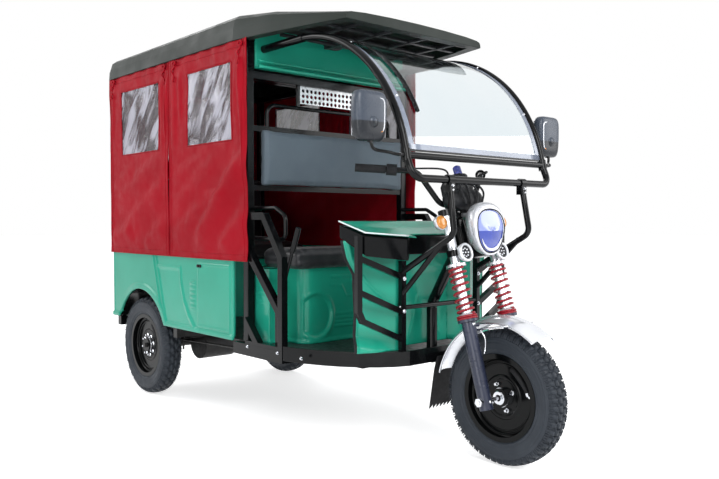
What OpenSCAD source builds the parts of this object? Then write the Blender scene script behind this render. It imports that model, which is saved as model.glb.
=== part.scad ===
// Passenger electric tricycle: tube frame, hollow sheet body, curtained cabin, sprung front fork.
// Millimetres. X runs forward, Y to the left and Z up. The places along X named below are counted
// from the rear axle, and place() moves the whole vehicle so that its box is centred on the origin.

/* [Wheels] */
// Distance between the rear axle and the front axle
wheelbase = 2010; // [1900:10:2200]
// Distance between the middles of the rear tyres
rear_track = 870; // [840:5:880]
// Outside diameter of a tyre
tyre_d = 510; // [490:2:520]
// Width of a tyre
tyre_w = 100; // [88:2:104]
// Diameter of a rim over its flanges
rim_d = 330; // [310:2:350]

/* [Body] */
// Width over the side panels
body_w = 1000; // [990:5:1060]
// Roof's rear edge behind the rear axle
rear_overhang = 360; // [350:5:420]
// Tail panel's outer face behind the rear axle
body_tail = 330; // [325:1:345]
// Front edge of the side panels ahead of the rear axle
body_front = 905; // [860:5:930]
// Height of the side panels' lower edge
sill_z = 390; // [389:1:410]
// Height of the side panels' upper edge
waist_z = 770; // [740:5:800]
// Thickness of a side panel with its folded edges
panel_t = 16; // [10:1:20]
// Radius of the rear wheel arch
arch_r = 290; // [275:1:296]

/* [Cabin] */
// Middle of the front pillars ahead of the rear axle
pillar_x = 980; // [960:5:1000]
// Side of a square pillar tube
pillar_t = 36; // [25:1:40]
// Height of the header panel's lower edge
header_z = 1575; // [1550:5:1590]
// Height of the curtains' lower hem
curtain_z = 742; // [720:2:760]
// Thickness of a curtain with its seams
curtain_t = 6; // [3:1:8]

/* [Roof] */
// Height of the roof's lower edge
roof_z = 1695; // [1680:5:1760]
// Overhang of the roof's edge beyond the side panels
roof_out = 20; // [18:1:50]
// Height of the roof's side skirt
roof_skirt = 105; // [90:1:130]
// Rise of the roof's middle above its skirt
roof_crown = 40; // [20:1:60]
// Front edge of the visor ahead of the rear axle
visor_x = 1555; // [1480:5:1600]
// Width of the visor at its front edge
visor_w = 800; // [760:5:860]
// Thickness of the roof shell
roof_t = 5; // [3:0.5:8]

/* [Windscreen] */
// Radius of the bent screen
screen_r = 620; // [600:5:640]
// Screen's lower edge behind the front axle
screen_back = 125; // [110:1:130]
// Height of the screen's lower edge
screen_z = 1150; // [1140:2:1160]
// Distance between the middles of the screen's side tubes
screen_w = 810; // [780:5:830]
// Diameter of the screen's tubes
screen_tube_d = 28; // [20:1:30]
// Thickness of the screen
glass_t = 4; // [3:0.5:6]

/* [Footwell] */
// Front edge of the footboard behind the front axle
foot_back = 322; // [318:2:340]
// Width of the footboard's front edge
foot_front_w = 410; // [380:5:440]
// Depth of the footboard's skirt
skirt_h = 60; // [40:1:70]
// Height of the skirt's lower edge
skirt_z = 348; // [340:1:352]

/* [Front cowl] */
// Front panel of the cowl behind the footboard's front edge
cowl_back = 20; // [16:1:28]
// Width of the front panel
cowl_front_w = 400; // [380:5:420]
// Length of the leg shields, from the front panel to their rear edges
cowl_l = 112; // [98:2:128]
// Width over the leg shields' rear edges
cowl_rear_w = 850; // [820:5:870]
// Height of the hood at its rear edge
hood_rear_z = 915; // [900:5:930]
// Height of the hood at its front edge
hood_front_z = 858; // [840:2:880]
// Depth of the tray below the hood
tray_t = 50; // [30:2:60]

/* [Seats] */
// Height of the driver's seat
seat_z = 800; // [780:5:820]
// Thickness of the driver's cushion
seat_t = 85; // [60:5:100]
// Front edge of the driver's cushion ahead of the rear axle
seat_x = 1275; // [1240:5:1290]
// Distance of the driver's cushion inside the body's side
seat_side = 65; // [55:1:90]
// Front face of the seat box ahead of the rear axle
box_x = 1215; // [1190:5:1230]
// Width of the seat box's front part
box_w = 690; // [640:5:740]
// Height of the backrest's lower edge
back_z = 1062; // [1050:2:1080]
// Height of the backrest
back_h = 258; // [220:2:262]

/* [Steering] */
// Lean of the steering axis from upright, in degrees
rake = 16; // [14:0.5:18]
// Distance of the fork legs ahead of the steering axis
fork_offset = 45; // [40:1:50]
// Distance between the fork legs' middles
fork_w = 240; // [232:1:250]
// Diameter of a fork's lower leg
leg_d = 52; // [46:1:56]
// Outside diameter of a fork spring
spring_d = 70; // [62:1:74]
// Width of the handlebar over its ends
bar_w = 750; // [700:10:770]
// Diameter of the handlebar tube
bar_d = 22; // [20:1:25]
// Gap between the front tyre and its mudguard
guard_gap = 52; // [48:1:56]

/* [Hidden] */
$fn = 96;
// Rest clearance between two pieces that seat on each other
seat = 0.3;
// Radial clearance of a shaft in its bore
running = 0.05;
// How far a cut runs past the face that it opens
over = 2;
// Facets of a full circle where a long arc is drawn
arc_fn = 720;

// Derived places
half_w = body_w / 2;
screen_x = wheelbase - screen_back;
foot_x = wheelbase - foot_back;
cowl_x = foot_x - cowl_back;
cowl_rear_x = cowl_x - cowl_l;
roof_w = body_w + 2 * roof_out;
seat_w = body_w - 2 * seat_side;
tyre_r = tyre_d / 2;
x_mid = (wheelbase + tyre_r - rear_overhang) / 2;

// Ladder frame: rails, cross members, sill tubes, neck and head tube
rail_y = 300;
rail_w = 40;
rail_h = 50;
floor_t = 4;
rail_top = sill_z - floor_t - 2 * seat;
rail_z = rail_top - rail_h;
floor_z = sill_z - seat;
rail_rear = body_tail - panel_t - seat;
rail_back = 128;
rail_front = foot_x - rail_back;
neck_back = 56;
neck_x = foot_x - neck_back;
neck_z = 575;
neck_d = 44;
neck_bend_r = 60;
head_d = 58;
stem_d = 38;
head_low = 576;
head_h = 124;
neck_in = 8;
neck_share = 0.4;
hanger_h = 10;
sill_w = 34;
lug_l = 38;
lug_w = 14;
lug_h = 44;
lug_bore_d = 18;

// Guards and cabin tubes
guard_t = 30;
guard_x = 1255;
frame_y = half_w - panel_t - seat - pillar_t / 2;
pillar_rear_x = pillar_t / 2 - rail_rear;
pillar_out = frame_y + pillar_t / 2;
pillar_in = frame_y - pillar_t / 2;
frame_top = roof_z - seat;
beam_gap = 6;
mid_bow_x = 345;

// Rear running gear
axle_tube_d = 56;
spindle_d = 25;
hub_in = 60;
back_plate_d = 176;
back_plate_t = 10;
diff_d = 210;
diff_face_share = 0.8;
diff_w = 120;
motor_d = 176;
motor_l = 190;
motor_x = 165;
motor_lift = 12;
leaf_w = 44;
leaf_t = 8;
leaf_half = 300;
leaf_shares = [1, 0.72, 0.45];
nut_d = 34;
nut_t = 12;

// Rims and tyres
rim_half = 42;
flange_t = 5;
bead_drop = 15;
well_drop = 30;
well_half = 14;
wall_t = 4;
disc_t = 6;
disc_at = 14;
hub_d = 70;
hub_out = 36;
// Tyre outline: radius share from bead to tread, half-width share
tyre_shares = [[0.15, 0.75], [0.22, 0.88], [0.38, 0.97], [0.55, 1], [0.74, 0.96], [0.87, 0.86],
    [0.945, 0.72], [0.985, 0.48], [1, 0.2]];

// Footboard outline: share of its length, share of its narrowing
skirt_shares = [[0, 0.985], [0.25, 0.89], [0.45, 0.775], [0.6, 0.66], [0.74, 0.51], [0.86, 0.33],
    [0.95, 0.14], [1, -0.06]];
skirt_t = 5;
skirt_lead = 2;
housing_gap = 13;
housing_t = 3;
housing_in = (rear_track - tyre_w) / 2 - housing_gap;
floor_half = half_w - guard_t - seat;
floor_slot = housing_in - 2 * housing_t;
floor_step_x = 310;

function unit(v) = v / norm(v);
function square_to(v) = unit(abs(v.z) < 0.9 ? cross(v, [0, 0, 1]) : cross(v, [1, 0, 0]));
function normal(p, i) = unit([p[i].y - p[i + 1].y, p[i + 1].x - p[i].x]);
function mitre(p, i) =
    i == 0 ? normal(p, 0)
    : i == len(p) - 1 ? normal(p, i - 1)
    : let (a = normal(p, i - 1), b = normal(p, i)) (a + b) / (1 + a * b);
function beside(p, d) = [for (i = [0:len(p) - 1]) p[i] + mitre(p, i) * d];
function reversed(p) = [for (i = [len(p) - 1:-1:0]) p[i]];
function flipped(p) = [for (q = reversed(p)) [q.x, -q.y]];
function ribbon(p, w) = concat(beside(p, w / 2), reversed(beside(p, -w / 2)));
function lerp(a, b, t) = a + (b - a) * t;

// Moves the vehicle so that its box is centred on the origin
module place() { translate([-x_mid, 0, 0]) children(); }

// One piece on each side
module both() {
    children();
    mirror([0, 1, 0]) children();
}

// A side-view outline (X, Z) drawn out along Y from y
module from_side(y, w) { translate([0, y + w, 0]) rotate([90, 0, 0]) linear_extrude(w) children(); }

// A front-view outline (Y, Z) drawn out along X from x
module from_front(x, l) {
    translate([x, 0, 0]) rotate([90, 0, 90]) linear_extrude(l) children();
}

// Turns a piece made about Z so that its axis lies along Y with its top to the right
module across() { rotate([90, 0, 0]) children(); }

// Round bar between two points
module strut(a, b, d) {
    v = b - a;
    translate(a) rotate([0, acos(v.z / norm(v)), atan2(v.y, v.x)]) cylinder(h = norm(v), d = d);
}

// A bend's share of the tube's diameter, and its lap into the straights as a share of the diameter
bend_share = 0.98;
lap_share = 0.08;

// Round tube through points with bends of one radius
module tube(points, d, bend_r) {
    v = unit(points[1] - points[0]);
    x = square_to(v);
    y = cross(v, x);
    p = points[0];
    multmatrix([[x.x, y.x, v.x, p.x], [x.y, y.y, v.y, p.y], [x.z, y.z, v.z, p.z], [0, 0, 0, 1]])
        tube_from(points, d, bend_r, 0, 0, v, x);
}

module tube_from(points, d, bend_r, i, used, v, x) {
    last = i == len(points) - 2;
    next = last ? v : unit(points[i + 2] - points[i + 1]);
    turn = acos(min(1, v * next));
    cut = last ? 0 : bend_r * tan(turn / 2);
    run = norm(points[i + 1] - points[i]) - used - cut;
    cylinder(h = run, d = d);
    if (!last) {
        side = unit(next - (next * v) * v);
        translate([0, 0, run]) rotate([0, 0, atan2(side * cross(v, x), side * x)]) {
            lap = lap_share * d / bend_r * 180 / PI;
            multmatrix([[-1, 0, 0, bend_r], [0, 0, 1, 0], [0, 1, 0, 0], [0, 0, 0, 1]])
                rotate([0, 0, -lap]) rotate_extrude(angle = turn + 2 * lap)
                    translate([bend_r, 0]) circle(d = d * bend_share);
            translate([bend_r, 0, 0]) rotate([0, turn, 0]) translate([-bend_r, 0, 0])
                tube_from(points, d, bend_r, i + 1, cut, next, side * cos(turn) - v * sin(turn));
        }
    }
}

// Insets that round a padded block's edges, as shares of its edge radius
round_shares = [[0, 1, 1], [1, 0, 1], [1, 1, 0], [0.29, 0.29, 1], [0.29, 1, 0.29], [1, 0.29, 0.29]];

// Padded block with rounded edges between two corners
module pad(low, high, r) {
    hull() for (k = round_shares) translate(low + r * k) cube(high - low - 2 * r * k);
}

// Round cord through points, as a faceted sweep
module cord(points, d, sides) {
    n = len(points);
    rings = [for (i = [0:n - 1])
        let (v = unit(points[min(i + 1, n - 1)] - points[max(i - 1, 0)]),
            a = unit(cross(v, [0.3, 0.2, 1])), b = cross(v, a))
        [for (k = [0:sides - 1]) let (t = 360 * k / sides) points[i] + d / 2 * (a * cos(t) + b * sin(t))]];
    swept(rings);
}

// Closed solid through rings of like count
module swept(rings) {
    n = len(rings);
    m = len(rings[0]);
    polyhedron(
        points = [for (r = rings) each r],
        faces = concat(
            [[for (k = [0:m - 1]) k]],
            [for (i = [0:n - 2], k = [0:m - 1])
                [i * m + k, (i + 1) * m + k, (i + 1) * m + (k + 1) % m]],
            [for (i = [0:n - 2], k = [0:m - 1])
                [i * m + k, (i + 1) * m + (k + 1) % m, i * m + (k + 1) % m]],
            [[for (k = [m - 1:-1:0]) (n - 1) * m + k]]));
}

function bezier(p, t) =
    len(p) == 1 ? p[0] : bezier([for (i = [0:len(p) - 2]) lerp(p[i], p[i + 1], t)], t);

// Steering frame: Z up the steering axis from the front axle's height, X forward and square to it
module steer() {
    translate([wheelbase, 0, tyre_r]) rotate([0, -rake, 0]) translate([-fork_offset, 0, 0]) children();
}

// Outline of the footboard's right edge, from the guard post to the middle of the front
function foot_edge(inset) = beside(
    [for (s = skirt_shares) [lerp(guard_x + guard_t / 2 + seat + skirt_lead, foot_x, s[0]),
        -lerp(foot_front_w / 2, half_w, s[1])]], inset);

module chassis_frame() {
    color("black") difference() {
        union() {
            both() translate([-rail_rear, rail_y - rail_w / 2, rail_z])
                cube([rail_rear + rail_front, rail_w, rail_h]);
            translate([-rail_rear, -pillar_out, rail_z]) cube([pillar_t, 2 * pillar_out, rail_h]);
            translate([rail_front - rail_w, -rail_y, rail_z]) cube([rail_w, 2 * rail_y, rail_h]);
            translate([rail_front - rail_w / 2, -rail_w / 2, rail_z])
                cube([neck_x + neck_d / 2 - rail_front + rail_w / 2, rail_w, rail_h]);
            for (x = [mid_bow_x, pillar_x, guard_x])
                translate([x - pillar_t / 2, -half_w + sill_w / 2, rail_z])
                    cube([pillar_t, body_w - sill_w, rail_h]);
            both() translate([body_front + seat, half_w - sill_w, rail_z])
                cube([guard_x + guard_t / 2 - body_front - seat, sill_w, rail_h]);
            both() for (x = [-1, 1])
                translate([x * leaf_half - rail_w / 2, rail_y - rail_w / 2, rail_z - hanger_h])
                    cube([rail_w, rail_w, hanger_h + rail_h / 2]);
            tube([[neck_x, 0, rail_z + rail_h / 2], [neck_x, 0, neck_z], neck_top], neck_d, neck_bend_r);
            steer() translate([0, 0, head_low]) cylinder(h = head_h, d = head_d);
            translate([-rail_rear - lug_l, -lug_w / 2, rail_z])
                cube([lug_l + rail_w / 2, lug_w, lug_h]);
        }
        steer() translate([0, 0, head_low - over])
            cylinder(h = head_h + 2 * over, d = stem_d + 2 * running);
        translate([-rail_rear - lug_l / 2, 0, rail_z + lug_h / 2]) across()
            cylinder(h = lug_w + 2 * over, d = lug_bore_d, center = true);
    }
}
head_mid = head_low + head_h * neck_share;
neck_top = [wheelbase - fork_offset * cos(rake) - head_mid * sin(rake) - neck_in, 0,
    tyre_r - fork_offset * sin(rake) + head_mid * cos(rake) - neck_in];

module floor_pan() {
    edge = foot_edge(skirt_t / 2 + seat);
    color("dimgray") translate([0, 0, floor_z - floor_t]) linear_extrude(floor_t) difference() {
        polygon(concat([[-rail_rear, -floor_slot], [floor_step_x, -floor_slot], [floor_step_x, -floor_half],
            [edge[0].x, -floor_half]], [for (p = edge) if (-p.y < floor_half) p],
            [for (p = reversed(edge)) if (-p.y < floor_half) [p.x, -p.y]],
            [[edge[0].x, floor_half], [floor_step_x, floor_half], [floor_step_x, floor_slot],
            [-rail_rear, floor_slot]]));
        translate([neck_x, 0]) circle(d = neck_d + 2 * seat);
    }
}

module bumper_skirt() {
    color("black") translate([0, 0, skirt_z]) linear_extrude(skirt_h)
        polygon(ribbon(concat(foot_edge(0), flipped(foot_edge(0))), skirt_t));
}

module rear_axle() {
    half = rear_track / 2;
    plate = half - hub_in - 2 * back_plate_t;
    color("black") translate([0, 0, tyre_r]) across() rotate_extrude() polygon([
        [0, -half - hub_out - nut_t], [spindle_d / 2, -half - hub_out - nut_t],
        [spindle_d / 2, -plate - back_plate_t], [back_plate_d / 2, -plate - back_plate_t],
        [back_plate_d / 2, -plate], [axle_tube_d / 2, -plate],
        [axle_tube_d / 2, -diff_w / 2], [diff_d / 2 * diff_face_share, -diff_w / 2],
        [diff_d / 2, -diff_w / 3], [diff_d / 2, diff_w / 3],
        [diff_d / 2 * diff_face_share, diff_w / 2], [axle_tube_d / 2, diff_w / 2],
        [axle_tube_d / 2, plate], [back_plate_d / 2, plate], [back_plate_d / 2, plate + back_plate_t],
        [spindle_d / 2, plate + back_plate_t], [spindle_d / 2, half + hub_out + nut_t],
        [0, half + hub_out + nut_t]]);
}

module drive_motor() {
    color("dimgray") translate([motor_x, -diff_w / 2 - seat, tyre_r + motor_lift]) across()
        cylinder(h = motor_l, d = motor_d);
}

// Leaf springs bowed down from the rails' hangers to the axle tube
module leaf_springs() {
    low = tyre_r + axle_tube_d / 2 + seat;
    sag = rail_z - hanger_h - seat - low - len(leaf_shares) * leaf_t;
    r = (leaf_half * leaf_half + sag * sag) / (2 * sag);
    color("black") both() for (i = [0:len(leaf_shares) - 1]) {
        a = 2 * asin(leaf_half * leaf_shares[i] / r);
        translate([0, rail_y, low + len(leaf_shares) * leaf_t + r]) across() rotate([0, 0, -90 - a / 2])
            rotate_extrude(angle = a, $fn = arc_fn)
                translate([r + i * leaf_t, -leaf_w / 2]) square([leaf_t, leaf_w]);
    }
}

// Side panels: arch, raised lip, slanted ridges, hatch seam, louvres and sill flange
lip_w = 34;
lip_out = 8;
arch_x = 5;
arch_z = 268;
flange_h = 22;
ridge_t = 8;
ridge_w = 14;
ridge_at = [[145, 740], [249, 412]];
ridge_step = 34;
rib_at = [[430, 690], [455, 560], [560, 412]];
hatch_x = 596;
hatch_in = 18;
hatch_low = 412;
hatch_top = 724;
louvre_x = 530;
louvre_l = 44;
louvre_h = 10;
louvre_step = 22;
louvre_n = 6;
louvre_z = 500;

module side_panel() {
    color("mediumseagreen") difference() {
        union() {
            from_side(-half_w, panel_t) polygon([[-body_tail, sill_z], [body_front, sill_z],
                [body_front, waist_z], [-body_tail, waist_z]]);
            from_side(-half_w - lip_out, lip_out + panel_t / 2) intersection() {
                translate([arch_x, arch_z]) circle(arch_r + lip_w);
                translate([arch_x - 2 * arch_r, sill_z]) square([4 * arch_r, waist_z - sill_z]);
            }
            from_side(-half_w - ridge_t, ridge_t + panel_t / 2) {
                for (s = [0, 1])
                    polygon(ribbon([for (p = ridge_at) p + [s * ridge_step, 0]], ridge_w));
                polygon(ribbon(rib_at, ridge_w));
                for (i = [0:louvre_n - 1]) translate([louvre_x, louvre_z + i * louvre_step])
                    square([louvre_l, louvre_h]);
                translate([hatch_x, hatch_low])
                    square([body_front - hatch_in - hatch_x, hatch_top - hatch_low]);
            }
            from_side(-half_w - lip_out, lip_out + panel_t / 2)
                translate([-body_tail, sill_z]) square([body_tail + body_front, flange_h]);
        }
        from_side(-half_w - lip_out - over, panel_t + lip_out + 2 * over)
            translate([arch_x, arch_z]) circle(arch_r);
    }
}
module side_panels() { both() side_panel(); }

module tail_panel() {
    color("mediumseagreen") translate([-body_tail, -half_w + panel_t + seat, sill_z])
        cube([panel_t, body_w - 2 * panel_t - 2 * seat, waist_z - sill_z]);
}

tail_lamp_h = 90;
tail_lamp_w = 60;
tail_lamp_t = 22;
tail_lamp_in = 100;
tail_lamp_z = 600;
module tail_lamps() {
    color("darkred") both()
        translate([-body_tail - seat - tail_lamp_t, half_w - tail_lamp_in - tail_lamp_w / 2, tail_lamp_z])
            cube([tail_lamp_t, tail_lamp_w, tail_lamp_h]);
}

// Wheel housings: arched boxes behind the side panels
module wheel_housings() {
    y = half_w - panel_t - seat;
    color("black") both() difference() {
        from_side(housing_in, y - housing_in) intersection() {
            translate([arch_x, arch_z]) circle(arch_r + housing_t);
            translate([-body_tail, sill_z]) square([2 * body_tail, waist_z - sill_z]);
        }
        from_side(housing_in + housing_t, y) translate([arch_x, arch_z]) circle(arch_r);
    }
}

// Seat box: moulded shell, wider behind, open below
box_rear = 936;
box_step_x = 1096;
box_side = 60;
box_rear_w = body_w - 2 * box_side;
box_t = 5;
box_r = 55;
box_top = seat_z - seat_t - seat;
slat_n = 6;
slat_h = 12;
slat_step = 24;
slat_t = 6;
slat_z = 470;
slat_l = 170;
slat_y = 40;
frame_emb = 14;
emb_z = 440;
emb_half = 250;
module box_outline(inset) {
    translate([box_rear + inset, -box_rear_w / 2 + inset])
        square([box_step_x - box_rear - 2 * inset, box_rear_w - 2 * inset]);
    difference() {
        translate([box_rear + inset, -box_w / 2 + inset])
            square([box_x - box_rear - 2 * inset, box_w - 2 * inset]);
        for (s = [-1, 1]) translate([box_x - box_r, s * (box_w / 2 - box_r / 2)])
            square([2 * box_r, box_r], center = true);
    }
    for (s = [-1, 1]) translate([box_x - box_r, s * (box_w / 2 - box_r)]) circle(box_r - inset);
}
module seat_box() {
    color("mediumseagreen") {
        difference() {
            translate([0, 0, floor_z + seat]) linear_extrude(box_top - floor_z - seat) box_outline(0);
            translate([0, 0, floor_z + seat - over]) linear_extrude(box_top - floor_z - seat - box_t + over)
                box_outline(box_t);
        }
        for (i = [0:slat_n - 1]) translate([box_x - box_t / 2, slat_y, slat_z + i * slat_step])
            cube([box_t / 2 + slat_t, slat_l, slat_h]);
        from_front(box_x - box_t / 2, box_t / 2 + slat_t)
            polygon(ribbon([[-emb_half, box_top - box_t], [-emb_half, emb_z], [emb_half, emb_z],
                [emb_half, box_top - box_t]], frame_emb));
    }
}

battery_gap = 20;
battery_front = 40;
battery_l = box_x - box_rear - battery_gap - battery_front;
battery_w = 560;
battery_h = 230;
module battery_pack() {
    color("gray") translate([box_rear + battery_gap, -battery_w / 2, floor_z + seat])
        cube([battery_l, battery_w, battery_h]);
}

pad_r = 22;
seat_rear = pillar_x + pillar_t / 2 + 4 * seat;
module driver_seat() {
    color("black") pad([seat_rear, -seat_w / 2, seat_z - seat_t], [seat_x, seat_w / 2, seat_z], pad_r);
}

brake_gap = 1;
brake_low = [1192, 560];
brake_high = [1334, 888];
brake_d = 14;
brake_y = half_w - guard_t - brake_gap - brake_d / 2;
brake_grip_d = 24;
brake_grip_share = 0.72;
brake_plate_w = 36;
module hand_brake() {
    a = [brake_low.x, -brake_y, brake_low.y];
    b = [brake_high.x, -brake_y, brake_high.y];
    color("black") {
        strut(a, b, brake_d);
        strut(lerp(a, b, brake_grip_share), b, brake_grip_d);
        translate([brake_low.x - brake_plate_w / 2, -brake_y - brake_d / 4, floor_z + seat])
            cube([brake_plate_w, brake_d / 2, brake_low.y - floor_z]);
    }
}

bench_rear = 268;
bench_front = 215;
bench_gap = 12;
bench_w = 2 * (housing_in - bench_gap);
bench_z = 700;
bench_t = 5;
module passenger_bench() {
    color("mediumseagreen") difference() {
        translate([-bench_rear, -bench_w / 2, floor_z + seat])
            cube([bench_rear + bench_front, bench_w, bench_z - floor_z - seat]);
        translate([-bench_rear + bench_t, -bench_w / 2 + bench_t, floor_z - over])
            cube([bench_rear + bench_front - 2 * bench_t, bench_w - 2 * bench_t,
                bench_z - floor_z - bench_t + over]);
    }
}

cushion_t = 85;
cushion_side = 65;
cushion_w = body_w - 2 * cushion_side;
cushion_front = 250;
rest_t = 70;
rest_h = 480;
module passenger_seat() {
    color("black") {
        pad([-bench_rear + rest_t + seat, -cushion_w / 2, bench_z + seat],
            [cushion_front, cushion_w / 2, bench_z + cushion_t], pad_r);
        pad([-bench_rear, -cushion_w / 2, bench_z + seat],
            [-bench_rear + rest_t, cushion_w / 2, bench_z + rest_h], pad_r);
    }
}

// Partition behind the driver: bars, hoop and posts
bar_t = 25;
bar_lap = 12;
hoop_in = 78;
hoop_half = pillar_in - hoop_in;
hoop_z = 1430;
hoop_d = 18;
hoop_r = 45;
post_y = 197;
post_t = 14;
grille_z = 1452;
grille_t = 4;
hole_d = 16;
hole_step = 24;
beam_z = header_z - beam_gap - pillar_t;
pad_back = pillar_x + bar_t / 2 + seat;
module backrest_frame() {
    color("black") {
        for (z = [back_z + bar_lap - bar_t, back_z + back_h - bar_lap])
            translate([pillar_x - bar_t / 2, -pillar_in + seat, z])
                cube([bar_t, 2 * (pillar_in - seat), bar_t]);
        z = back_z + back_h + bar_t / 2 - bar_lap;
        tube([[pillar_x, -hoop_half, z], [pillar_x, -hoop_half, hoop_z], [pillar_x, hoop_half, hoop_z],
            [pillar_x, hoop_half, z]], hoop_d, hoop_r);
        both() translate([pillar_x - post_t / 2, post_y - post_t / 2, hoop_z])
            cube([post_t, post_t, beam_z - seat - hoop_z]);
    }
}

pad_t = 46;
back_r = 8;
pad_in = 18;
pad_half = pillar_in - pad_in;
module backrest_pad() {
    color("slategray")
        pad([pad_back, -pad_half, back_z], [pad_back + pad_t, pad_half, back_z + back_h], back_r);
}

module vent_grille() {
    half = post_y - post_t / 2 - seat;
    rows = floor((beam_z - grille_z) / hole_step);
    cols = floor(2 * half / hole_step);
    color("gainsboro") difference() {
        translate([pillar_x - grille_t / 2, -half, grille_z])
            cube([grille_t, 2 * half, beam_z - seat - grille_z]);
        for (i = [0:cols - 1], k = [0:rows - 1])
            translate([pillar_x, (i + 0.5 - cols / 2) * hole_step, grille_z + (k + 0.5) * hole_step])
                rotate([0, 90, 0]) cylinder(h = grille_t + 2 * over, d = hole_d, center = true);
    }
}

module cabin_frame() {
    z = floor_z + seat;
    color("black") {
        both() {
            translate([pillar_x - pillar_t / 2, pillar_in, z]) cube([pillar_t, pillar_t, frame_top - z]);
            translate([pillar_rear_x - pillar_t / 2, pillar_in, rail_top + seat])
                cube([pillar_t, pillar_t, frame_top - rail_top - seat]);
            translate([pillar_rear_x, pillar_in, frame_top - pillar_t])
                cube([pillar_x - pillar_rear_x, pillar_t, pillar_t]);
        }
        for (x = [pillar_rear_x, mid_bow_x, pillar_x])
            translate([x - pillar_t / 2, -frame_y, frame_top - pillar_t])
                cube([pillar_t, 2 * frame_y, pillar_t]);
        translate([pillar_x - pillar_t / 2, -frame_y, beam_z]) cube([pillar_t, 2 * frame_y, pillar_t]);
    }
}

guard_high = 937;
guard_bend_x = 1131;
guard_knee = 766;
brace_top = [1000, 800];
brace_low = [1250, 530];
strut_top = [1000, 480];
strut_low = [1080, 395];
module side_guards() {
    low = rail_top + seat;
    front = pillar_x + pillar_t / 2 + seat;
    color("black") both() from_side(half_w - guard_t, guard_t) {
        polygon(ribbon([[front, guard_high], [guard_bend_x, guard_high], [guard_x, guard_knee],
            [guard_x, low]], guard_t));
        intersection() {
            union() {
                polygon(ribbon([[brace_top.x - guard_t, brace_top.y + guard_t], brace_low], guard_t));
                polygon(ribbon([[strut_top.x - guard_t, strut_top.y + guard_t],
                    [strut_low.x + guard_t, strut_low.y - guard_t]], guard_t));
                translate([front, low]) square([guard_x - front, guard_t / 2]);
            }
            translate([front, low]) square([guard_x - front, guard_high]);
        }
    }
}

rest_d = 18;
rest_y = frame_y - rest_d / 2;
rest_bend = 28;
rest_top = 972;
rest_low = 842;
rest_x = 1238;
rest_drop = 36;
module arm_rests() {
    front = pillar_x + pillar_t / 2 + seat;
    color("silver") both() tube([[front, rest_y, rest_top], [rest_x - 2 * rest_drop, rest_y, rest_top],
        [rest_x, rest_y, rest_top - rest_drop], [rest_x, rest_y, rest_low], [front, rest_y, rest_low]],
        rest_d, rest_bend);
}

header_t = 12;
header_h = 178;
header_lip = 26;
header_half = pillar_in;
header_x = pillar_x + pillar_t / 2 + seat;
module header_panel() {
    color("seagreen") {
        translate([header_x, -header_half, header_z]) cube([header_t, 2 * header_half, header_h]);
        translate([header_x, -header_half, header_z])
            cube([header_t + header_lip, 2 * header_half, header_t]);
    }
}

// Roof: length share, width share, skirt share, crown share
roof_shares = [[0, 0.965, 0.5, 0], [0.008, 0.985, 0.82, 0.2], [0.025, 1, 1, 0.5], [0.13, 1, 1, 1],
    [0.68, 1, 1.06, 0.9], [0.8, 0.93, 0.86, 0.7], [0.92, 0.84, 0.5, 0.45], [1, visor_w / roof_w, 0.28, 0.3]];
// Roof section: share of the half-width, share of the skirt, share of the crown
section_shares = [[1, 0, 0], [0.994, 0.5, 0], [0.975, 0.83, 0], [0.93, 1, 0], [0.75, 1, 0.5],
    [0.4, 1, 0.87], [0, 1, 1]];
roof_lip = 46;
module roof_loft(inset, low) {
    last = len(roof_shares) - 1;
    m = len(section_shares) - 1;
    swept([for (i = [0:last]) let (s = roof_shares[i],
        x = min(max(lerp(-rear_overhang, visor_x, s[0]), -rear_overhang + inset), visor_x - inset),
        w = roof_w / 2 * s[1] - inset, h = roof_skirt * s[2] - inset - low, c = roof_crown * s[3])
        concat([for (k = [0:m]) let (q = section_shares[k])
            [x, w * q[0], roof_z + low + h * q[1] + c * q[2]]],
            [for (k = [m - 1:-1:0]) let (q = section_shares[k])
                [x, -w * q[0], roof_z + low + h * q[1] + c * q[2]]])]);
}
module roof() {
    color("dimgray") difference() {
        roof_loft(0, 0);
        roof_loft(roof_t, roof_t);
        translate([0, 0, roof_z - over]) linear_extrude(roof_t + 2 * over) polygon(concat(
            [for (s = roof_shares) [min(max(lerp(-rear_overhang, visor_x, s[0]), roof_lip - rear_overhang),
                visor_x - roof_lip), roof_w / 2 * s[1] - roof_lip]],
            [for (s = reversed(roof_shares)) [min(max(lerp(-rear_overhang, visor_x, s[0]),
                roof_lip - rear_overhang), visor_x - roof_lip), roof_lip - roof_w / 2 * s[1]]]));
    }
}

// Windscreen frame: side tubes on one arc, lower loop and cross bar
screen_a = 10;
screen_cx = screen_x - screen_r * cos(screen_a);
screen_cz = screen_z - screen_r * sin(screen_a);
loop_drop = 82;
loop_lead = 34;
loop_r = 45;
sleeve_t = 3;
sleeve_l = 44;
loop_x = screen_x + loop_lead;
loop_z = screen_z - loop_drop;
module screen_frame() {
    half = screen_w / 2;
    front = header_x + header_t + seat;
    color("black") {
        both() {
            translate([screen_cx, half, screen_cz]) across() rotate([0, 0, screen_a])
                rotate_extrude(angle = 90 - screen_a) translate([screen_r, 0]) circle(d = screen_tube_d);
            translate([front, half, screen_cz + screen_r]) rotate([0, 90, 0])
                cylinder(h = screen_cx - front + sleeve_l / 2, d = screen_tube_d + 2 * sleeve_t);
            translate([screen_x, half, screen_z]) rotate([0, -screen_a, 0])
                cylinder(h = sleeve_l, d = screen_tube_d + 2 * sleeve_t, center = true);
        }
        tube([[screen_x, -half, screen_z], [loop_x, -half, loop_z], [loop_x, half, loop_z],
            [screen_x, half, screen_z]], screen_tube_d, loop_r);
        translate([screen_x, 0, screen_z]) across()
            cylinder(h = screen_w, d = screen_tube_d - sleeve_t, center = true);
    }
}

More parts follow.
